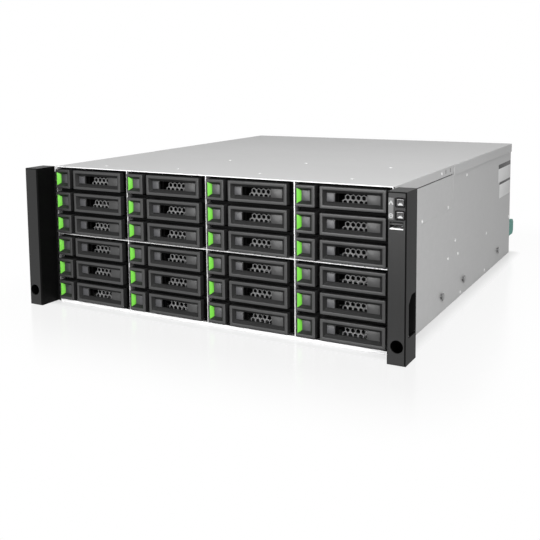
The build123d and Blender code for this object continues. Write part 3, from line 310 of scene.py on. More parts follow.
def make_zinc_sheet():
    """Zinc-coated steel sheet: faint crystal flakes, rolling streaks along Y, specks and clouds."""
    tree, enter, leave = group(
        "zinc sheet",
        [("Colour", "colour", grey(190)), ("Flake size", "number", 150.0),
         ("Flake contrast", "number", 0.06), ("Roughness", "number", 0.42)],
        [("Colour", "colour"), ("Roughness", "number"), ("Height", "number")],
    )
    place = object_coordinates(tree)
    flakes = add(tree, "ShaderNodeTexVoronoi", {"Randomness": 1.0})
    wire(tree, place, flakes.inputs["Vector"])
    wire(tree, enter.outputs["Flake size"], flakes.inputs["Scale"])
    channels = add(tree, "ShaderNodeSeparateColor")
    wire(tree, flakes.outputs["Color"], channels.inputs[0])
    flake = maths(tree, "SUBTRACT", channels.outputs[0], 0.5)
    streaks = noise(tree, object_coordinates(tree, (1.0, 0.02, 1.0)), 260.0, 4.0, 0.6)
    specks = noise(tree, place, 900.0, 2.0)
    clouds = noise(tree, place, 6.0, 2.0)
    tone = maths(tree, "MULTIPLY_ADD", flake, enter.outputs["Flake contrast"], 1.0)
    for value, span in ((streaks, 0.06), (specks, 0.05), (clouds, 0.08)):
        tone = maths(tree, "MULTIPLY", tone, around(tree, value, span))
    wire(tree, toned(tree, enter.outputs["Colour"], tone), leave.inputs["Colour"])
    rough = maths(tree, "MULTIPLY_ADD", flake, 0.1, enter.outputs["Roughness"])
    wire(tree, maths(tree, "ADD", rough, around(tree, streaks, 0.08, 0.0)), leave.inputs["Roughness"])
    wire(tree, maths(tree, "MULTIPLY", maths(tree, "ADD", streaks, specks), 0.5), leave.inputs["Height"])
    return tree


def make_soft_edges():
    """Edges eased in the shading: a normal that turns over a small radius, and a mask of where it turns."""
    tree, enter, leave = group(
        "soft edges", [("Radius", "number", 0.3 * MM), ("Gain", "number", 4.0)],
        [("Normal", "direction"), ("Edge", "number")],
    )
    ease = add(tree, "ShaderNodeBevel", samples=4)
    wire(tree, enter.outputs["Radius"], ease.inputs["Radius"])
    shape = add(tree, "ShaderNodeNewGeometry")
    match = vector_maths(tree, "DOT_PRODUCT", ease.outputs["Normal"], shape.outputs["True Normal"])
    bent = maths(tree, "SUBTRACT", 1.0, match)
    wire(tree, maths(tree, "MULTIPLY", bent, enter.outputs["Gain"], clamp=True), leave.inputs["Edge"])
    wire(tree, ease.outputs["Normal"], leave.inputs["Normal"])
    return tree


def make_cut_edge():
    """Masks on the chassis sheet for painted light and shade: cut edges that look to the front, which take a
    painted highlight, those of the side walls apart, which take painted shade, and the back of the groove
    under the front cover's flange, also painted shade."""
    tree, enter, leave = group(
        "cut edge",
        [("Depth", "number", -1.0 * MM), ("Half width", "number", 217.8 * MM),
         ("Groove level", "number", 158.85 * MM), ("Groove half height", "number", 0.6 * MM),
         ("Groove end", "number", 200.0 * MM)],
        [("Mask", "number"), ("Wall", "number"), ("Groove", "number")],
    )
    shape = add(tree, "ShaderNodeNewGeometry")
    place = split(tree, object_coordinates(tree))
    faces_front = maths(tree, "LESS_THAN", split(tree, shape.outputs["True Normal"])["Y"], -0.9)
    in_front = maths(tree, "LESS_THAN", place["Y"], enter.outputs["Depth"])
    wire(tree, maths(tree, "MULTIPLY", faces_front, in_front), leave.inputs["Mask"])
    across = maths(tree, "ABSOLUTE", place["X"])
    wire(tree, maths(tree, "GREATER_THAN", across, enter.outputs["Half width"]), leave.inputs["Wall"])
    level = maths(tree, "COMPARE", place["Z"], enter.outputs["Groove level"],
                  enter.outputs["Groove half height"])
    before = maths(tree, "LESS_THAN", place["Y"], enter.outputs["Groove end"])
    wire(tree, maths(tree, "MULTIPLY", level, before), leave.inputs["Groove"])
    return tree


def make_front_faces():
    """A mask of the faces that look to the piece's own front, however the piece is turned."""
    tree, enter, leave = group(
        "front faces", [("Start", "number", 0.85), ("Width", "number", 0.1)], [("Mask", "number")],
    )
    shape = add(tree, "ShaderNodeNewGeometry")
    turn = add(tree, "ShaderNodeVectorTransform", vector_type="NORMAL", convert_from="WORLD",
               convert_to="OBJECT")
    wire(tree, shape.outputs["True Normal"], turn.inputs[0])
    normal = split(tree, vector_maths(tree, "NORMALIZE", turn.outputs[0]))
    past = maths(tree, "SUBTRACT", maths(tree, "MULTIPLY", normal["Y"], -1.0), enter.outputs["Start"])
    wire(tree, maths(tree, "DIVIDE", past, enter.outputs["Width"], clamp=True), leave.inputs["Mask"])
    return tree


GRAIN = make_moulded_grain()
ZINC = make_zinc_sheet()
SOFT_EDGES = make_soft_edges()
CUT_EDGE = make_cut_edge()
FRONT_FACES = make_front_faces()


# Materials
def use(tree, node_group, values=None):
    """A node that runs a group."""
    made = tree.nodes.new("ShaderNodeGroup")
    made.node_tree = node_group
    for key, value in (values or {}).items():
        made.inputs[key].default_value = value
    return made


def material(name, values):
    """A material with one Principled shader and the given fixed values; gives material, tree and shader."""
    made = bpy.data.materials.new(name)
    made.use_nodes = True
    tree = made.node_tree
    shader = tree.nodes["Principled BSDF"]
    for key, value in values.items():
        shader.inputs[key].default_value = value
    return made, tree, shader


def raised(tree, shader, height, strength, distance=0.1 * MM, normal=None):
    """A Bump node between a height and the shader's normal."""
    bump = add(tree, "ShaderNodeBump", {"Strength": strength, "Distance": distance})
    wire(tree, height, bump.inputs["Height"])
    if normal is not None:
        wire(tree, normal, bump.inputs["Normal"])
    wire(tree, bump.outputs["Normal"], shader.inputs["Normal"])


def plastic(name, colour, roughness, grain=1600.0, tone=0.08, bump=0.12, edge_highlight_and_mottle=0.35, face=None, **values):
    """Moulded plastic with grain, and edges that are eased and lightened as a painted highlight.
    face gives another colour to the faces that look to the front, which also get a coat: painted light and
    shade by facing."""
    made, tree, shader = material(name, values)
    look = use(tree, GRAIN, {"Colour": colour, "Grain size": grain, "Tone change": tone,
                             "Roughness": roughness})
    if face:
        # Faces that look to the front take the face colour: painted light and shade by facing.
        mask = use(tree, FRONT_FACES)
        wire(tree, blend_colour(tree, mask.outputs["Mask"], colour, face), look.inputs["Colour"])
        wire(tree, mask.outputs["Mask"], shader.inputs["Coat Weight"])
    edges = use(tree, SOFT_EDGES, {"Radius": 0.3 * MM})
    # Edges lightened: a painted highlight.
    edge_highlight_colour = brighter(colour, 1.9, 0.012)
    factor = maths(tree, "MULTIPLY", edges.outputs["Edge"], edge_highlight_and_mottle)
    wire(tree, blend_colour(tree, factor, look.outputs["Colour"], edge_highlight_colour), shader.inputs["Base Color"])
    wire(tree, look.outputs["Roughness"], shader.inputs["Roughness"])
    raised(tree, shader, look.outputs["Height"], bump, normal=edges.outputs["Normal"])
    return made


def sheet_metal(name, colour, roughness, flake=150.0, contrast=0.06, cut=None, **values):
    """Coated sheet with flakes and streaks, and edges lightened as a painted highlight. cut gives the colour
    of a painted highlight on its front edges, which are painted dark as shade on the side walls, as is the
    groove under the cover."""
    made, tree, shader = material(name, values)
    look = use(tree, ZINC, {"Colour": colour, "Flake size": flake, "Flake contrast": contrast,
                            "Roughness": roughness})
    edges = use(tree, SOFT_EDGES, {"Radius": 0.4 * MM})
    # Edges lightened where they turn: a painted highlight.
    factor = maths(tree, "MULTIPLY", edges.outputs["Edge"], 0.35)
    shown = blend_colour(tree, factor, look.outputs["Colour"], brighter(colour, 1.25))
    if cut:
        mask = use(tree, CUT_EDGE)
        # Front edges painted near white as a highlight, and near black as shade on the side walls.
        edge_light_and_shade = blend_colour(tree, mask.outputs["Wall"], cut, grey(14))
        shown = blend_colour(tree, mask.outputs["Mask"], shown, edge_light_and_shade)
        # The back of the groove under the cover's flange is painted dark as shade.
        shown = blend_colour(tree, mask.outputs["Groove"], shown, grey(20))
    wire(tree, shown, shader.inputs["Base Color"])
    wire(tree, look.outputs["Roughness"], shader.inputs["Roughness"])
    raised(tree, shader, look.outputs["Height"], 0.06, normal=edges.outputs["Normal"])
    return made


def make_circuit_board():
    """Solder mask over copper runs: thin square-cut lines and pads, a little raised."""
    made, tree, shader = material("circuit board", {"Roughness": 0.35})
    runs = add(tree, "ShaderNodeTexBrick", {
        "Scale": 420.0, "Mortar Size": 0.03, "Mortar": linear(44, 112, 72),
        "Color1": linear(22, 74, 48), "Color2": linear(26, 84, 54),
    }, offset_frequency=3, squash_frequency=2)
    upright = add(tree, "ShaderNodeMapping", {"Rotation": (math.pi / 2, 0.0, 0.0)})
    wire(tree, object_coordinates(tree), upright.inputs["Vector"])
    wire(tree, upright.outputs["Vector"], runs.inputs["Vector"])
    wire(tree, runs.outputs["Color"], shader.inputs["Base Color"])
    raised(tree, shader, runs.outputs["Fac"], 0.3, 0.2 * MM)
    return made


def make_port_shell():
    """The port's pressed shell, mottled and painted near black as the shade inside the port, with a grey
    tongue, and a lower plate painted near white as a reflection.
    """
    plate_top, tongue_level, tongue_half = 134.6 * MM, 138.65 * MM, 1.0 * MM
    made, tree, shader = material("port shell", {"Roughness": 0.4, "Specular IOR Level": 0.1})
    height = split(tree, object_coordinates(tree))["Z"]
    tongue = maths(tree, "COMPARE", height, tongue_level, tongue_half)
    plate = maths(tree, "LESS_THAN", height, plate_top)
    # Shell near black: painted shade inside the port.
    shade = blend_colour(tree, tongue, grey(8), grey(72))
    # Lower plate near white: a painted reflection.
    shade = blend_colour(tree, plate, shade, grey(250))
    edge_highlight_and_mottle = noise(tree, object_coordinates(tree), 900.0, 3.0)
    wire(tree, toned(tree, shade, around(tree, edge_highlight_and_mottle, 0.3)), shader.inputs["Base Color"])
    raised(tree, shader, edge_highlight_and_mottle, 0.1, 0.05 * MM)
    return made


def make_label_paper():
    """Blank paper labels: off-white, with a dark band along each upper edge, and faint paper fibre."""
    upper_band, lower_band, lower_half = 138.8 * MM, 116.8 * MM, 1.8 * MM
    made, tree, shader = material("label paper", {"Roughness": 0.55})
    height = split(tree, object_coordinates(tree))["Z"]
    bands = maths(tree, "MAXIMUM", maths(tree, "GREATER_THAN", height, upper_band),
                  maths(tree, "COMPARE", height, lower_band, lower_half))
    fibre = noise(tree, object_coordinates(tree), 1400.0, 3.0)
    paper = toned(tree, grey(212), around(tree, fibre, 0.08, 0.96))
    wire(tree, blend_colour(tree, bands, paper, grey(44)), shader.inputs["Base Color"])
    raised(tree, shader, fibre, 0.05, 0.05 * MM)
    return made


# A low specular level keeps the white surroundings from paling the dark pieces.
dull = {"Specular IOR Level": 0.1}
soft_sheen = {"Metallic": 0.1, "Specular IOR Level": 0.12}
# cut: a near-white painted highlight on the chassis sheet's front edges.
zinc = sheet_metal("zinc sheet", grey(176), 0.5, cut=grey(250), **soft_sheen)
lid_zinc = sheet_metal("lid sheet", grey(176), 0.5, **soft_sheen)
bright_sheet = sheet_metal("bright sheet", grey(226), 0.3, flake=300.0, contrast=0.03, Metallic=0.7)
canister_sheet = sheet_metal("canister sheet", grey(190), 0.42, flake=190.0, Metallic=0.5)
stud_steel = sheet_metal("stud steel", grey(122), 0.32, flake=900.0, contrast=0.03, Metallic=0.9)
rivet_steel = sheet_metal("rivet steel", grey(215), 0.3, flake=900.0, contrast=0.03, Metallic=0.8)
grille_metal = sheet_metal("grille sheet", grey(142), 0.5, flake=900.0, contrast=0.04,
                           **{"Specular IOR Level": 0.2})
mirror_cap = sheet_metal("mirror cap", grey(92), 0.16, flake=1600.0, contrast=0.02, Metallic=1.0)
drive_cast = sheet_metal("cast drive case", grey(30), 0.6, flake=700.0, contrast=0.08, **dull)
drive_lid = sheet_metal("drive lid", grey(196), 0.34, flake=500.0, contrast=0.03, Metallic=0.8)
ear_plastic = plastic("ear plastic", grey(10), 0.38, grain=2600.0, tone=0.05, bump=0.2, edge_highlight_and_mottle=0.2,
                      face=grey(10),
                      **{"Specular IOR Level": 0.05, "Coat Roughness": 0.36, "Coat IOR": 1.42})
# Front faces painted paler than the sloped faces: painted light and shade.
tray_plastic = plastic("tray plastic", grey(34), 0.42, grain=2200.0, tone=0.04, bump=0.14, face=grey(47),
                       **{"Specular IOR Level": 0.1, "Coat Roughness": 0.36, "Coat IOR": 1.45})
# Front faces painted a little darker than the pad's other faces: painted light and shade.
pad_plastic = plastic("pad plastic", grey(60), 0.4, grain=2200.0, tone=0.03, bump=0.1,
                      face=linear(48, 48, 51), **{"Specular IOR Level": 0.15, "Coat Roughness": 0.38})
carrier_plastic = plastic("carrier plastic", grey(8), 0.6, grain=2200.0, edge_highlight_and_mottle=0.1, **dull)
latch_green = plastic("latch green", linear(100, 186, 53), 0.42, grain=2600.0, tone=0.02, bump=0.06,
                      edge_highlight_and_mottle=0.1)
bezel_plastic = plastic("bezel plastic", grey(10), 0.2, bump=0.02, edge_highlight_and_mottle=0.1, **{"Specular IOR Level": 0.3})
smoked_light = plastic("smoked light", grey(14), 0.15, bump=0.02, edge_highlight_and_mottle=0.1, **{"Specular IOR Level": 0.2})
light_strip = plastic("light strip", grey(92), 0.3, bump=0.03, edge_highlight_and_mottle=0.1)
icon_white = plastic("icon white", grey(165), 0.4, bump=0.02, edge_highlight_and_mottle=0.0)
drive_paper = plastic("drive paper", grey(225), 0.5, bump=0.02, edge_highlight_and_mottle=0.0)
fan_plastic = plastic("fan plastic", grey(34), 0.4)
teal_plastic = plastic("teal plastic", linear(8, 122, 108), 0.4, bump=0.05, edge_highlight_and_mottle=0.1,
                       **{"Specular IOR Level": 0.15})
flange_coat = plastic("flange coat", grey(14), 0.5, grain=1100.0, bump=0.2, edge_highlight_and_mottle=0.1, **dull)
lever_coat = plastic("lever coat", grey(58), 0.45, grain=1100.0, bump=0.25)
port_metal = make_port_shell()
board_green = make_circuit_board()
label_paper = make_label_paper()

cad_finish = {
    "chassis_base": zinc, "front_cover": zinc, "rear_lid": lid_zinc, "rear_shelves": zinc,
    "drive_cage": bright_sheet, "rack_flanges": flange_coat,
    "ear_cover_left": ear_plastic, "ear_cover_right": ear_plastic,
    "power_button": mirror_cap, "locate_button": mirror_cap, "light_pipe": light_strip,
    "usb_port": port_metal, "control_board": board_green, "midplane": board_green,
    "service_lever_pin": rivet_steel, "service_latch_spring": rivet_steel,
    "service_drive_screws": rivet_steel,
    "controller_lower": canister_sheet, "controller_upper": canister_sheet,
    "controller_lever_lower": lever_coat, "controller_lever_upper": lever_coat,
    "power_supply_left": canister_sheet, "power_supply_right": canister_sheet,
    "release_tab_left": teal_plastic, "release_tab_right": teal_plastic,
    "fan_module_left": canister_sheet, "fan_module_right": canister_sheet,
    "fan_rotor_left": fan_plastic, "fan_rotor_right": fan_plastic,
}
for node_name, finish in cad_finish.items():
    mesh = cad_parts[node_name].data
    mesh.materials.clear()
    mesh.materials.append(finish)


# Tray pieces
def even(x0, x1, half, y, radius, grow=0.0):
    """A level of a stack that reaches as far above the tray's middle as below it, grown by a margin."""
    return (x0 - grow, x1 + grow, -half - grow, half + grow, y, radius)


def eased(x0, x1, half, radius, edge=0.35):
    """The levels of a face's rounded front edge: a quarter round in chords, from back to front."""
    turn = np.linspace(0.0, math.pi / 2, 4)
    inset, rise = edge * (1 - np.cos(turn)), edge * (1 - np.sin(turn))
    return [even(x0, x1, half, r, max(radius - i, 0.05), -i) for i, r in zip(inset, rise)]


def housing_shape():
    """Outer wall, rounded rim, and a pocket with sloped walls.
    At its left a thin skin hides the room in which the latch slides."""
    left, right, half = 4.0, 20.9, 8.2
    room_left, floor_half = CARRIER_LEFT + 0.15, 5.5
    return stack([
        even(CARRIER_LEFT, HOUSING_RIGHT, HALF_FACE, WALL, 0.5),
        *eased(CARRIER_LEFT, HOUSING_RIGHT, HALF_FACE, 0.6),
        even(left - 0.05, right + 0.3, half + 0.3, 0.0, 0.25),
        even(left, right + 0.18, half + 0.18, 0.06, 0.22),
        even(left, right + 0.1, half + 0.1, 0.2, 0.2),
        even(left, right, half, 0.34, 0.2),
        even(room_left, right, half, 0.36, 0.2),
        even(room_left, POCKET_RIGHT + 0.15, floor_half + 0.15, POCKET - 0.12, 0.15),
        even(room_left, POCKET_RIGHT, floor_half, POCKET, 0.12),
    ])


def latch_shape():
    """The green wedge in the pocket's left side, wide at its foot, with one crease.
    Its profile gives the right edge, half the height, the depth and the corner radius."""
    profile = ((4.25, 7.9, 0.4, 0.05), (4.45, 7.85, 0.5, 0.06),
               (6.1, 6.65, 2.28, 0.08), (6.3, 6.5, 2.45, 0.08),
               (LATCH_FOOT - 0.05, 5.3, POCKET - 0.15, 0.1), (LATCH_FOOT, 5.3, POCKET - 0.02, 0.1))
    return stack([even(LATCH_LEFT, right, half, y, radius) for right, half, y, radius in profile])


def latch_pad_shape():
    """The paler floor of the pocket beside the latch."""
    return slab((LATCH_FOOT + 0.2, POCKET_RIGHT - 0.1), (POCKET - 0.15, POCKET + 0.2), (-5.4, 5.4),
                0.05, 0.3)


def latch_nose_shape():
    """The dark bar behind the green wedge, and the nose that holds the lever's hook."""
    height = (-2.2, 2.2)
    bar = slab((LATCH_LEFT + 0.05, HOUSING_RIGHT - 0.2), (5.9, 8.6), height, 0.1, 0.15)
    nose = slab((HOUSING_RIGHT - 0.3, 31.4), (7.4, 8.5), height, 0.15, 0.3)
    return joined(bar, nose)


def lever_shape():
    """Handle: rounded rim, sloped recess, open window, a floor at each side, hook leg and barrel."""
    mouth, window = (33.5, 98.3, 8.0), (RECESS_LEFT, RECESS_RIGHT, 4.7)
    rim = stack([
        even(LEVER_LEFT, LEVER_RIGHT, HALF_FACE, LEVER_BACK, 0.7),
        *eased(LEVER_LEFT, LEVER_RIGHT, HALF_FACE, 0.8, 0.4),
        even(*mouth, 0.0, 0.35, 0.2), even(*mouth, 0.06, 0.32, 0.08), even(*mouth, 0.2, 0.3),
        even(*window, POCKET - 0.15, 0.2, 0.15), even(*window, POCKET, 0.15),
        even(*window, LEVER_BACK, 0.15),
    ], ring=True)
    floors = [slab(x, (POCKET, LEVER_BACK - 0.1), (-4.9, 4.9), 0.1, 0.12)
              for x in ((RECESS_LEFT - 0.3, OPEN_LEFT), (OPEN_RIGHT, RECESS_RIGHT + 0.3))]
    hook_height, hook_end = (-2.6, 2.6), 9.9
    leg = slab((31.8, 33.0), (LEVER_BACK - 0.2, hook_end), hook_height, 0.15, 0.2)
    barb = slab((LEVER_LEFT, 32.2), (8.8, hook_end), hook_height, 0.15, 0.2)
    barrel = turned([(-8.65, 1.4), (-8.4, BARREL_RADIUS), (8.4, BARREL_RADIUS), (8.65, 1.4)],
                    (PIVOT_X, PIVOT_Y, 0.0), "z")
    web = slab((PIVOT_X - 1.6, PIVOT_X + 1.6), (LEVER_BACK - 0.2, PIVOT_Y), (-8.4, 8.4), 0.1, 0.12)
    return joined(rim, *floors, leg, barb, barrel, web)


def pad_shape():
    """The raised pad at the recess's left, with one corner of its upper edge well rounded."""
    levels = ((POCKET + 0.2, 0.0, 0.3), (3.55, 0.0, 0.3), (3.37, -0.08, 0.25), (3.3, -0.25, 0.2))
    return stack([even(RECESS_LEFT, OPEN_LEFT - 0.05, 4.3, y, (1.9 + grow, small, small, small), grow)
                  for y, grow, small in levels], steps=5)


def carrier_shape():
    """Front wall with its window, two side rails with rolled edges, the end bar and the pivot lugs."""
    back, end = WALL + 1.2, DRIVE_REAR + 1.5
    outer = (CARRIER_LEFT, CARRIER_RIGHT, DRIVE_LOW, DRIVE_HIGH)
    window = (46.8, 83.2, -7.9, 7.9)
    wall = stack([(*outer, back, 0.4), (*outer, WALL, 0.4), (*window, WALL, 0.3), (*window, back, 0.3)],
                 ring=True)
    rails = [slab((x, x + RAIL), (WALL + 0.2, end), (DRIVE_LOW, DRIVE_HIGH), 0.3, 0.5)
             for x in (CARRIER_LEFT, CARRIER_RIGHT - RAIL)]
    bar = slab((CARRIER_LEFT + 0.4, CARRIER_RIGHT - 0.4), (end - 1.2, end), (DRIVE_LOW, DRIVE_LOW + 2.4),
               0.2, 0.3)
    lugs = [turned([(z0, 1.5), (z0 + 0.2, BARREL_RADIUS), (z1 - 0.2, BARREL_RADIUS), (z1, 1.5)],
                   (PIVOT_X, PIVOT_Y, 0.0), "z", 16)
            for z0, z1 in ((-HALF_FACE, -8.95), (8.95, HALF_FACE))]
    arms = [slab((PIVOT_X - BARREL_RADIUS, PIVOT_X + BARREL_RADIUS), (PIVOT_Y, WALL + 0.3), z, 0.05, 0.1)
            for z in ((-HALF_FACE + 0.05, -9.0), (9.0, HALF_FACE - 0.05))]
    return joined(wall, *rails, bar, *lugs, *arms)


def grille_shape():
    """Six-sided rings laid in two staggered rows, with eased rims round their holes.
    Each ring joins hexagons: hole and outline, front and rear."""
    angle = np.radians(np.arange(6) * 60.0 + 30.0)
    corner = np.stack([np.cos(angle), np.sin(angle)], -1)
    outline, thickness = HEX_PITCH / math.sqrt(3.0), 0.8
    section = ((outline, 0.15), (HEX_HOLE + 0.12, 0.0), (HEX_HOLE, 0.12), (HEX_HOLE, thickness),
               (outline, thickness))
    points = np.concatenate([
        np.stack([corner[:, 0] * r, np.full(6, WALL + 0.2 + y), corner[:, 1] * r], -1) for r, y in section
    ])
    cell = points, skin(len(section), 6, ring=True)
    rows = ((0.0, 0.0), (HEX_PITCH / 2, HEX_ROW_DROP))
    return joined(*[moved(cell, x=HEX_LEFT + HEX_PITCH * n - shift, z=-drop)
                    for shift, drop in rows for n in range(HEX_COLUMNS)])


def marks_shape():
    """Two small light windows on the strip at the tray's left."""
    return joined(*[slab((2.3, 3.3), (-0.06, 0.25), (z - 1.7, z + 1.7), 0.05, 0.3) for z in (5.3, -4.7)])


def drive_shape():
    """Cast case with round-cornered pockets for its side screws."""
    case = slab((DRIVE_LEFT, DRIVE_RIGHT), (DRIVE_FRONT, DRIVE_REAR), (DRIVE_LOW, DRIVE_HIGH - 0.6),
                0.6, 1.0, 3)
    pockets = [slab((x, x + 0.4), (y - 4.0, y + 4.0), (-8.0, -4.0), 0.1, 1.2)
               for x in (DRIVE_LEFT - 0.1, DRIVE_RIGHT - 0.3) for y in (87.0, 145.0)]
    return joined(case, *pockets)


def drive_lid_shape():
    """Pressed lid: a plate with a raised field, a round bearing cover and six bolts."""
    top = DRIVE_HIGH
    plate = slab((5.0, 103.2), (DRIVE_FRONT + 2.0, DRIVE_REAR - 3.0), (top - 0.7, top - 0.25), 0.1, 0.1)
    field = slab((12.0, 96.0), (DRIVE_FRONT + 12.0, DRIVE_REAR - 37.0), (top - 0.4, top - 0.05), 0.1, 0.1)
    hub = turned([(top - 0.5, 12.0), (top - 0.1, 12.0), (top, 11.4)],
                 (54.0, DRIVE_FRONT + 60.0, 0.0), "z", 32)
    bolts = [turned([(top - 0.5, 2.4), (top - 0.1, 2.3), (top, 1.9)], (x, DRIVE_FRONT + y, 0.0), "z", 12)
             for x in (9.0, 99.0) for y in (8.0, 72.0, 138.0)]
    return joined(plate, field, hub, *bolts)


def drive_label_shape():
    """A blank label on the lid."""
    return slab((26.0, 84.0), (DRIVE_FRONT + 78.0, DRIVE_REAR - 15.0), (DRIVE_HIGH - 0.2, DRIVE_HIGH),
                0.03, 0.1)


# Label, shape, finish, slot, the service tray's own solid and its own body where it moves by itself
tray_parts = (
    ("carrier", carrier_shape(), carrier_plastic, "tray_plastic", "service_carrier", None),
    ("housing", housing_shape(), tray_plastic, "tray_plastic", "service_carrier", None),
    ("latch", latch_shape(), latch_green, "latch_green", "service_latch", "service_latch"),
    ("latch_pad", latch_pad_shape(), pad_plastic, "tray_plastic", "service_carrier", None),
    ("latch_nose", latch_nose_shape(), carrier_plastic, "tray_plastic", "service_latch", "service_latch"),
    ("lever", lever_shape(), tray_plastic, "tray_plastic", "service_lever", "service_lever"),
    ("lever_pad", pad_shape(), pad_plastic, "tray_plastic", "service_lever", "service_lever"),
    ("grille", grille_shape(), grille_metal, "grille_metal", "service_grille", None),
    ("marks", marks_shape(), smoked_light, "light_diffuser", None, None),
    ("drive", drive_shape(), drive_cast, "drive_metal", "service_drive", None),
    ("drive_lid", drive_lid_shape(), drive_lid, "drive_metal", None, None),
    ("drive_label", drive_label_shape(), drive_paper, "drive_metal", None, None),
)
for column in range(1, COLUMNS + 1):
    for row in range(1, ROWS + 1):
        here = {"x": -CHASSIS_HALF + COLUMN_PITCH * (column - 1), "y": FACE_Y,
                "z": TOP_ROW - ROW_PITCH * (row - 1)}
        tray = f"tray_c{column}_r{row}"
        service = (column, row) == SERVICE
        for label, shape, finish, slot_name, solid, own_body in tray_parts:
            body = (own_body or "service_tray") if service else tray
            points, faces = moved(shape, **here)
            made = piece(f"{tray}_{label}", points, faces, finish, body, slot_name)
            if service and solid:
                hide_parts(solid)
            elif not service:
                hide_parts(tray)


# Chassis fittings. Rivets are placed by (y, z) on both sides and by (x, y) on the top.
side_rivets = (
    (264.6, 150.8), (183.9, 121.1), (86.8, 120.5), (216.2, 75.9), (371.4, 56.9), (228.4, 57.0),
    (185.8, 59.3), (242.4, 4.8), (364.8, 6.1), (510.7, 57.9), (156.2, 164.6),
)
top_rivets = ((-160.7, 24.1), (-60.4, 33.1), (48.6, 34.7), (159.3, 34.7), (-53.1, 138.5), (50.8, 147.0),
              (161.4, 144.8))


def add_rivets():
    """Domed heads on a low rim. Those in the cover's shallow recess sit a little deeper."""
    quarter = np.linspace(0.0, math.pi / 2, 5)
    dome = [(-0.1, 2.2)] + [(0.58 * math.sin(a), 0.15 + 2.05 * math.cos(a)) for a in quarter]
    recess_end, recess_low, recess_high, recess_depth = 203.0, 118.0, 159.5, 0.25
    heads = []
    for side in (-1, 1):
        for y, z in side_rivets:
            sunk = recess_depth if y < recess_end and recess_low < z < recess_high else 0.0
            seat = side * (CHASSIS_HALF - sunk)
            heads.append(turned([(side * a, r) for a, r in dome], (seat, y, z), "x", 20))
    heads += [turned(dome, (x, y, CHASSIS_TOP), "z", 20) for x, y in top_rivets]
    rivet_heads = piece("rivet_heads", *joined(*heads), rivet_steel, "chassis", "bright_steel")
    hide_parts("rivets")


def add_studs():
    """Rail studs with a foot, a neck and a shouldered head."""
    profile = ((-0.2, 2.8), (0.0, 3.1), (0.3, 2.8), (1.9, 2.8),
               (2.0, 4.4), (2.15, 4.6), (2.95, 4.6), (3.2, 4.2))
    stud_height, stud_places = 19.8, (158.7, 251.6, 437.6)
    studs = [turned([(side * a, r) for a, r in profile], (side * CHASSIS_HALF, y, stud_height), "x", 32)
             for side in (-1, 1) for y in stud_places]
    stud_heads = piece("stud_heads", *joined(*studs), stud_steel, "chassis", "bright_steel")
    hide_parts("rail_studs")


def add_labels():
    """Two blank paper labels on the right side, 77 and 70 mm long."""
    depth, rear = (CHASSIS_HALF - 0.1, CHASSIS_HALF + 0.15), 516.0
    labels = joined(
        slab(depth, (rear - 77.0, rear), (119.0, 145.0), 0.04, 0.1),
        slab(depth, (rear - 70.0, rear), (95.0, 118.3), 0.04, 0.1),
    )
    piece("side_labels", *labels, label_paper, "chassis", "zinc_steel")


def add_slot_shades():
    """Dark slabs in the two slots of the front cover, on each side: painted shade in the slots."""
    inner, outer = CHASSIS_HALF - 0.8, CHASSIS_HALF - 0.04
    # Dark slabs that paint the shade in the slots.
    slot_shades = [slab(x, (y - 0.9, y + 0.9), (162.6, 167.4), 0.05, 0.2)
             for x in ((inner, outer), (-outer, -inner)) for y in (172.0, 190.0)]
    piece("cover_slot_shades", *joined(*slot_shades), carrier_plastic, "chassis", "zinc_steel")


# Right ear
def button_level(z, half_width, half_height, depth, radius):
    """A level of a stack round a button's middle, at a depth behind the ear's face."""
    return (BUTTON_X - half_width, BUTTON_X + half_width, z - half_height, z + half_height,
            EAR_FACE + depth, radius)


def add_bezels():
    """A raised frame round each button."""
    profile = ((5.05, 4.85, 0.0, 1.65), (5.05, 4.85, -0.5, 1.65), (4.85, 4.65, -0.7, 1.5),
               (4.0, 3.85, -0.7, 1.0), (3.8, 3.65, -0.5, 0.9), (3.8, 3.65, 0.0, 0.9))
    bezels = [stack([button_level(z, *level) for level in profile], ring=True, steps=5)
              for z in BUTTON_LEVELS.values()]
    piece("button_bezels", *joined(*bezels), bezel_plastic, "chassis", "ear_plastic")


def add_buttons():
    """Dished caps on round stems."""
    profile = ((3.7, 3.5, 3.9, 0.9), (3.7, 3.5, -0.1, 0.9), (3.4, 3.2, -0.4, 0.7),
               (2.6, 2.4, -0.25, 0.6), (1.6, 1.4, -0.05, 0.5), (0.6, 0.5, 0.0, 0.3))
    for button, z in BUTTON_LEVELS.items():
        cap = stack([button_level(z, *level) for level in profile], steps=4)
        stem = turned([(-27.2, 1.4), (-16.8, 1.5)], (BUTTON_X, 0.0, z), "y", 16)
        made = piece(f"{button}_cap", *joined(cap, stem), mirror_cap, button, "button_metal", crease=60.0)
        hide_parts(button)


def flat_ring(x, z, outer, inner):
    """A flat ring on the light strip: four circles joined."""
    section = ((ICON_FRONT, inner), (ICON_FRONT, outer), (EAR_FACE, outer), (EAR_FACE, inner))
    return turned(section, (x, 0.0, z), "y", ring=True)


def stroke(start, end, radius=0.6, front=ICON_FRONT):
    """A line with round ends on the light strip: half circles about its two ends, joined."""
    x0, z0, x1, z1 = *start, *end
    along = math.atan2(z1 - z0, x1 - x0)
    turn = np.linspace(-math.pi / 2, math.pi / 2, 7)
    outline = np.concatenate([
        np.stack([x + radius * np.cos(turn + a), z + radius * np.sin(turn + a)], -1)
        for x, z, a in ((x1, z1, along), (x0, z0, along + math.pi))
    ])
    count = len(outline)
    points = np.concatenate([
        np.stack([outline[:, 0], np.full(count, y), outline[:, 1]], -1) for y in (front, EAR_FACE)
    ])
    return points, skin(2, count, ring=False)


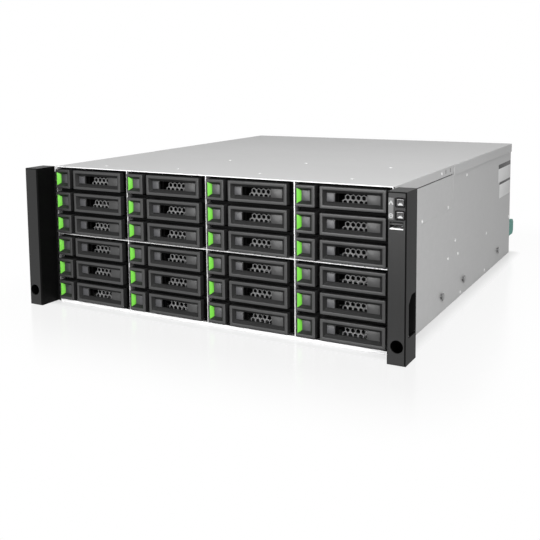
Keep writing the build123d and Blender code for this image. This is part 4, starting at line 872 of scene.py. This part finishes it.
def add_icons():
    """Generic icons on the light strip: a chevron above, whose second stroke stands a little prouder,
    and a ring with a bar below."""
    tip, foot_drop, foot_out, ring_z = 160.4, 2.8, 1.7, 146.5
    chevron = [stroke((ICON_X, tip), (ICON_X - foot_out, tip - foot_drop)),
               stroke((ICON_X, tip), (ICON_X + foot_out, tip - foot_drop), front=ICON_FRONT - 0.04)]
    ring = [flat_ring(ICON_X, ring_z, 2.3, 1.4), stroke((ICON_X - 1.0, ring_z), (ICON_X + 1.0, ring_z), 0.4)]
    piece("strip_marks", *joined(*chevron, *ring), icon_white, "chassis", "light_diffuser")


add_rivets()
add_studs()
add_labels()
add_slot_shades()
add_bezels()
add_buttons()
add_icons()


# Studio: floor, world, lights and camera, in metres. The rectangles are (middle, half size) on the floor.
WHITE = (1.0, 1.0, 1.0, 1.0)
FOOTPRINT = ((0.0, 0.3), (0.24, 0.34))
CONTACT = ((0.0, 0.258), (0.22, 0.26))


def seen_directly(tree):
    """1 for rays of the camera, of mirrors and through glass, otherwise 0."""
    path = tree.nodes.new("ShaderNodeLightPath")
    seen = maths(tree, "ADD", path.outputs["Is Camera Ray"], path.outputs["Is Glossy Ray"])
    return maths(tree, "ADD", seen, path.outputs["Is Transmission Ray"], clamp=True)


def fading(tree, middle, half, reach, share):
    """A share that falls to nothing over the given reach outside a rectangle of the floor.
    The distance is the length of what is left of |place - middle| - half above zero."""
    centred = vector_maths(tree, "SUBTRACT", object_coordinates(tree), (*middle, 0.0))
    outside = vector_maths(tree, "SUBTRACT", vector_maths(tree, "ABSOLUTE", centred), (*half, 0.0))
    away = vector_maths(tree, "LENGTH", vector_maths(tree, "MAXIMUM", outside, (0.0, 0.0, 0.0)))
    fade = add(tree, "ShaderNodeMapRange", {
        "From Min": 0.0, "From Max": reach, "To Min": share, "To Max": 0.0,
    }, interpolation_type="SMOOTHSTEP")
    wire(tree, away, fade.inputs["Value"])
    return fade.outputs["Result"]


def mixed(tree, share, first, second):
    """A Mix Shader node; gives its output."""
    made = tree.nodes.new("ShaderNodeMixShader")
    for source, socket in zip((share, first, second), made.inputs):
        wire(tree, source, socket)
    return made.outputs[0]


def make_floor():
    """A pale floor. The camera and mirrors see it white, less the object's shadow
    and faint reflection nearby."""
    mesh = bpy.data.meshes.new("floor")
    reach = 30.0
    mesh.from_pydata([(-reach, -reach, 0), (reach, -reach, 0), (reach, reach, 0), (-reach, reach, 0)], [],
                     [(0, 1, 2, 3)])
    made = bpy.data.materials.new("studio floor")
    made.use_nodes = True
    tree = made.node_tree
    tree.nodes.clear()
    leave = tree.nodes.new("ShaderNodeOutputMaterial")
    shadow = fading(tree, *FOOTPRINT, 0.17, 0.04)
    contact = fading(tree, *CONTACT, 0.02, 0.4)
    near = maths(tree, "ADD", shadow, contact, clamp=True)
    glow_share = maths(tree, "MULTIPLY", seen_directly(tree), maths(tree, "SUBTRACT", 1.0, near))
    matt = add(tree, "ShaderNodeBsdfDiffuse", {"Color": grey(196)})
    glow = add(tree, "ShaderNodeEmission", {"Color": WHITE, "Strength": 1.0})
    sheen = add(tree, "ShaderNodeBsdfGlossy", {"Color": WHITE, "Roughness": 0.2})
    lit = mixed(tree, glow_share, matt.outputs[0], glow.outputs[0])
    polish = fading(tree, *FOOTPRINT, 0.17, 0.1)
    wire(tree, mixed(tree, polish, lit, sheen.outputs[0]), leave.inputs["Surface"])
    mesh.materials.append(made)
    floor = bpy.data.objects.new("floor", mesh)
    bpy.context.scene.collection.objects.link(floor)


def make_world():
    """White to the camera, in mirrors and through glass, and a plain dim light for everything else."""
    ambient = 0.09
    world = bpy.data.worlds.new("studio")
    bpy.context.scene.world = world
    world.use_nodes = True
    tree = world.node_tree
    shade = tree.nodes["Background"]
    shade.inputs["Color"].default_value = WHITE
    strength = maths(tree, "MULTIPLY_ADD", seen_directly(tree), 1.0 - ambient, ambient)
    wire(tree, strength, shade.inputs["Strength"])


def make_light(name, place, aim, size, power):
    """A square soft light at a place, turned to a point."""
    lamp = bpy.data.lights.new(name, "AREA")
    lamp.shape = "SQUARE"
    lamp.size = size
    lamp.energy = power
    made = bpy.data.objects.new(name, lamp)
    made.location = place
    made.rotation_mode = "QUATERNION"
    made.rotation_quaternion = (Vector(aim) - Vector(place)).to_track_quat("-Z", "Y")
    bpy.context.scene.collection.objects.link(made)


def make_camera():
    """The photograph's viewing angle, fitted to its edges: turned left and a little down,
    with a shifted frame."""
    place = (0.48794, -0.750345, 0.281765)
    yaw, pitch, roll = 0.497936, 0.109508, -0.009664
    forward = Vector((-math.sin(yaw) * math.cos(pitch), math.cos(yaw) * math.cos(pitch), -math.sin(pitch)))
    right = Vector((math.cos(yaw), math.sin(yaw), 0.0))
    up = right.cross(forward)
    side = math.cos(roll) * right + math.sin(roll) * up
    top = -math.sin(roll) * right + math.cos(roll) * up
    lens = bpy.data.cameras.new("camera")
    lens.sensor_width = 36.0
    lens.lens = 54.3
    lens.shift_y = -0.2
    lens.clip_start = 0.01
    made = bpy.data.objects.new("camera", lens)
    turn = Matrix((side, top, -forward)).transposed()
    made.matrix_world = Matrix.Translation(place) @ turn.to_4x4()
    bpy.context.scene.collection.objects.link(made)
    bpy.context.scene.camera = made


make_floor()
make_world()
make_light("front softbox", (-0.12, -1.0, 0.27), (0.15, 0.0, 0.12), 0.45, 5.0)
make_light("high front softbox", (0.35, -0.8, 1.25), (0.1, 0.0, 0.1), 0.6, 9.0)
make_light("top softbox", (0.1, -0.5, 2.0), (0.0, 0.1, 0.15), 2.4, 33.0)
make_light("side softbox", (1.05, -0.75, 0.6), (0.22, 0.0, 0.08), 0.7, 12.0)
make_camera()
bpy.context.scene.view_settings.view_transform = "Standard"
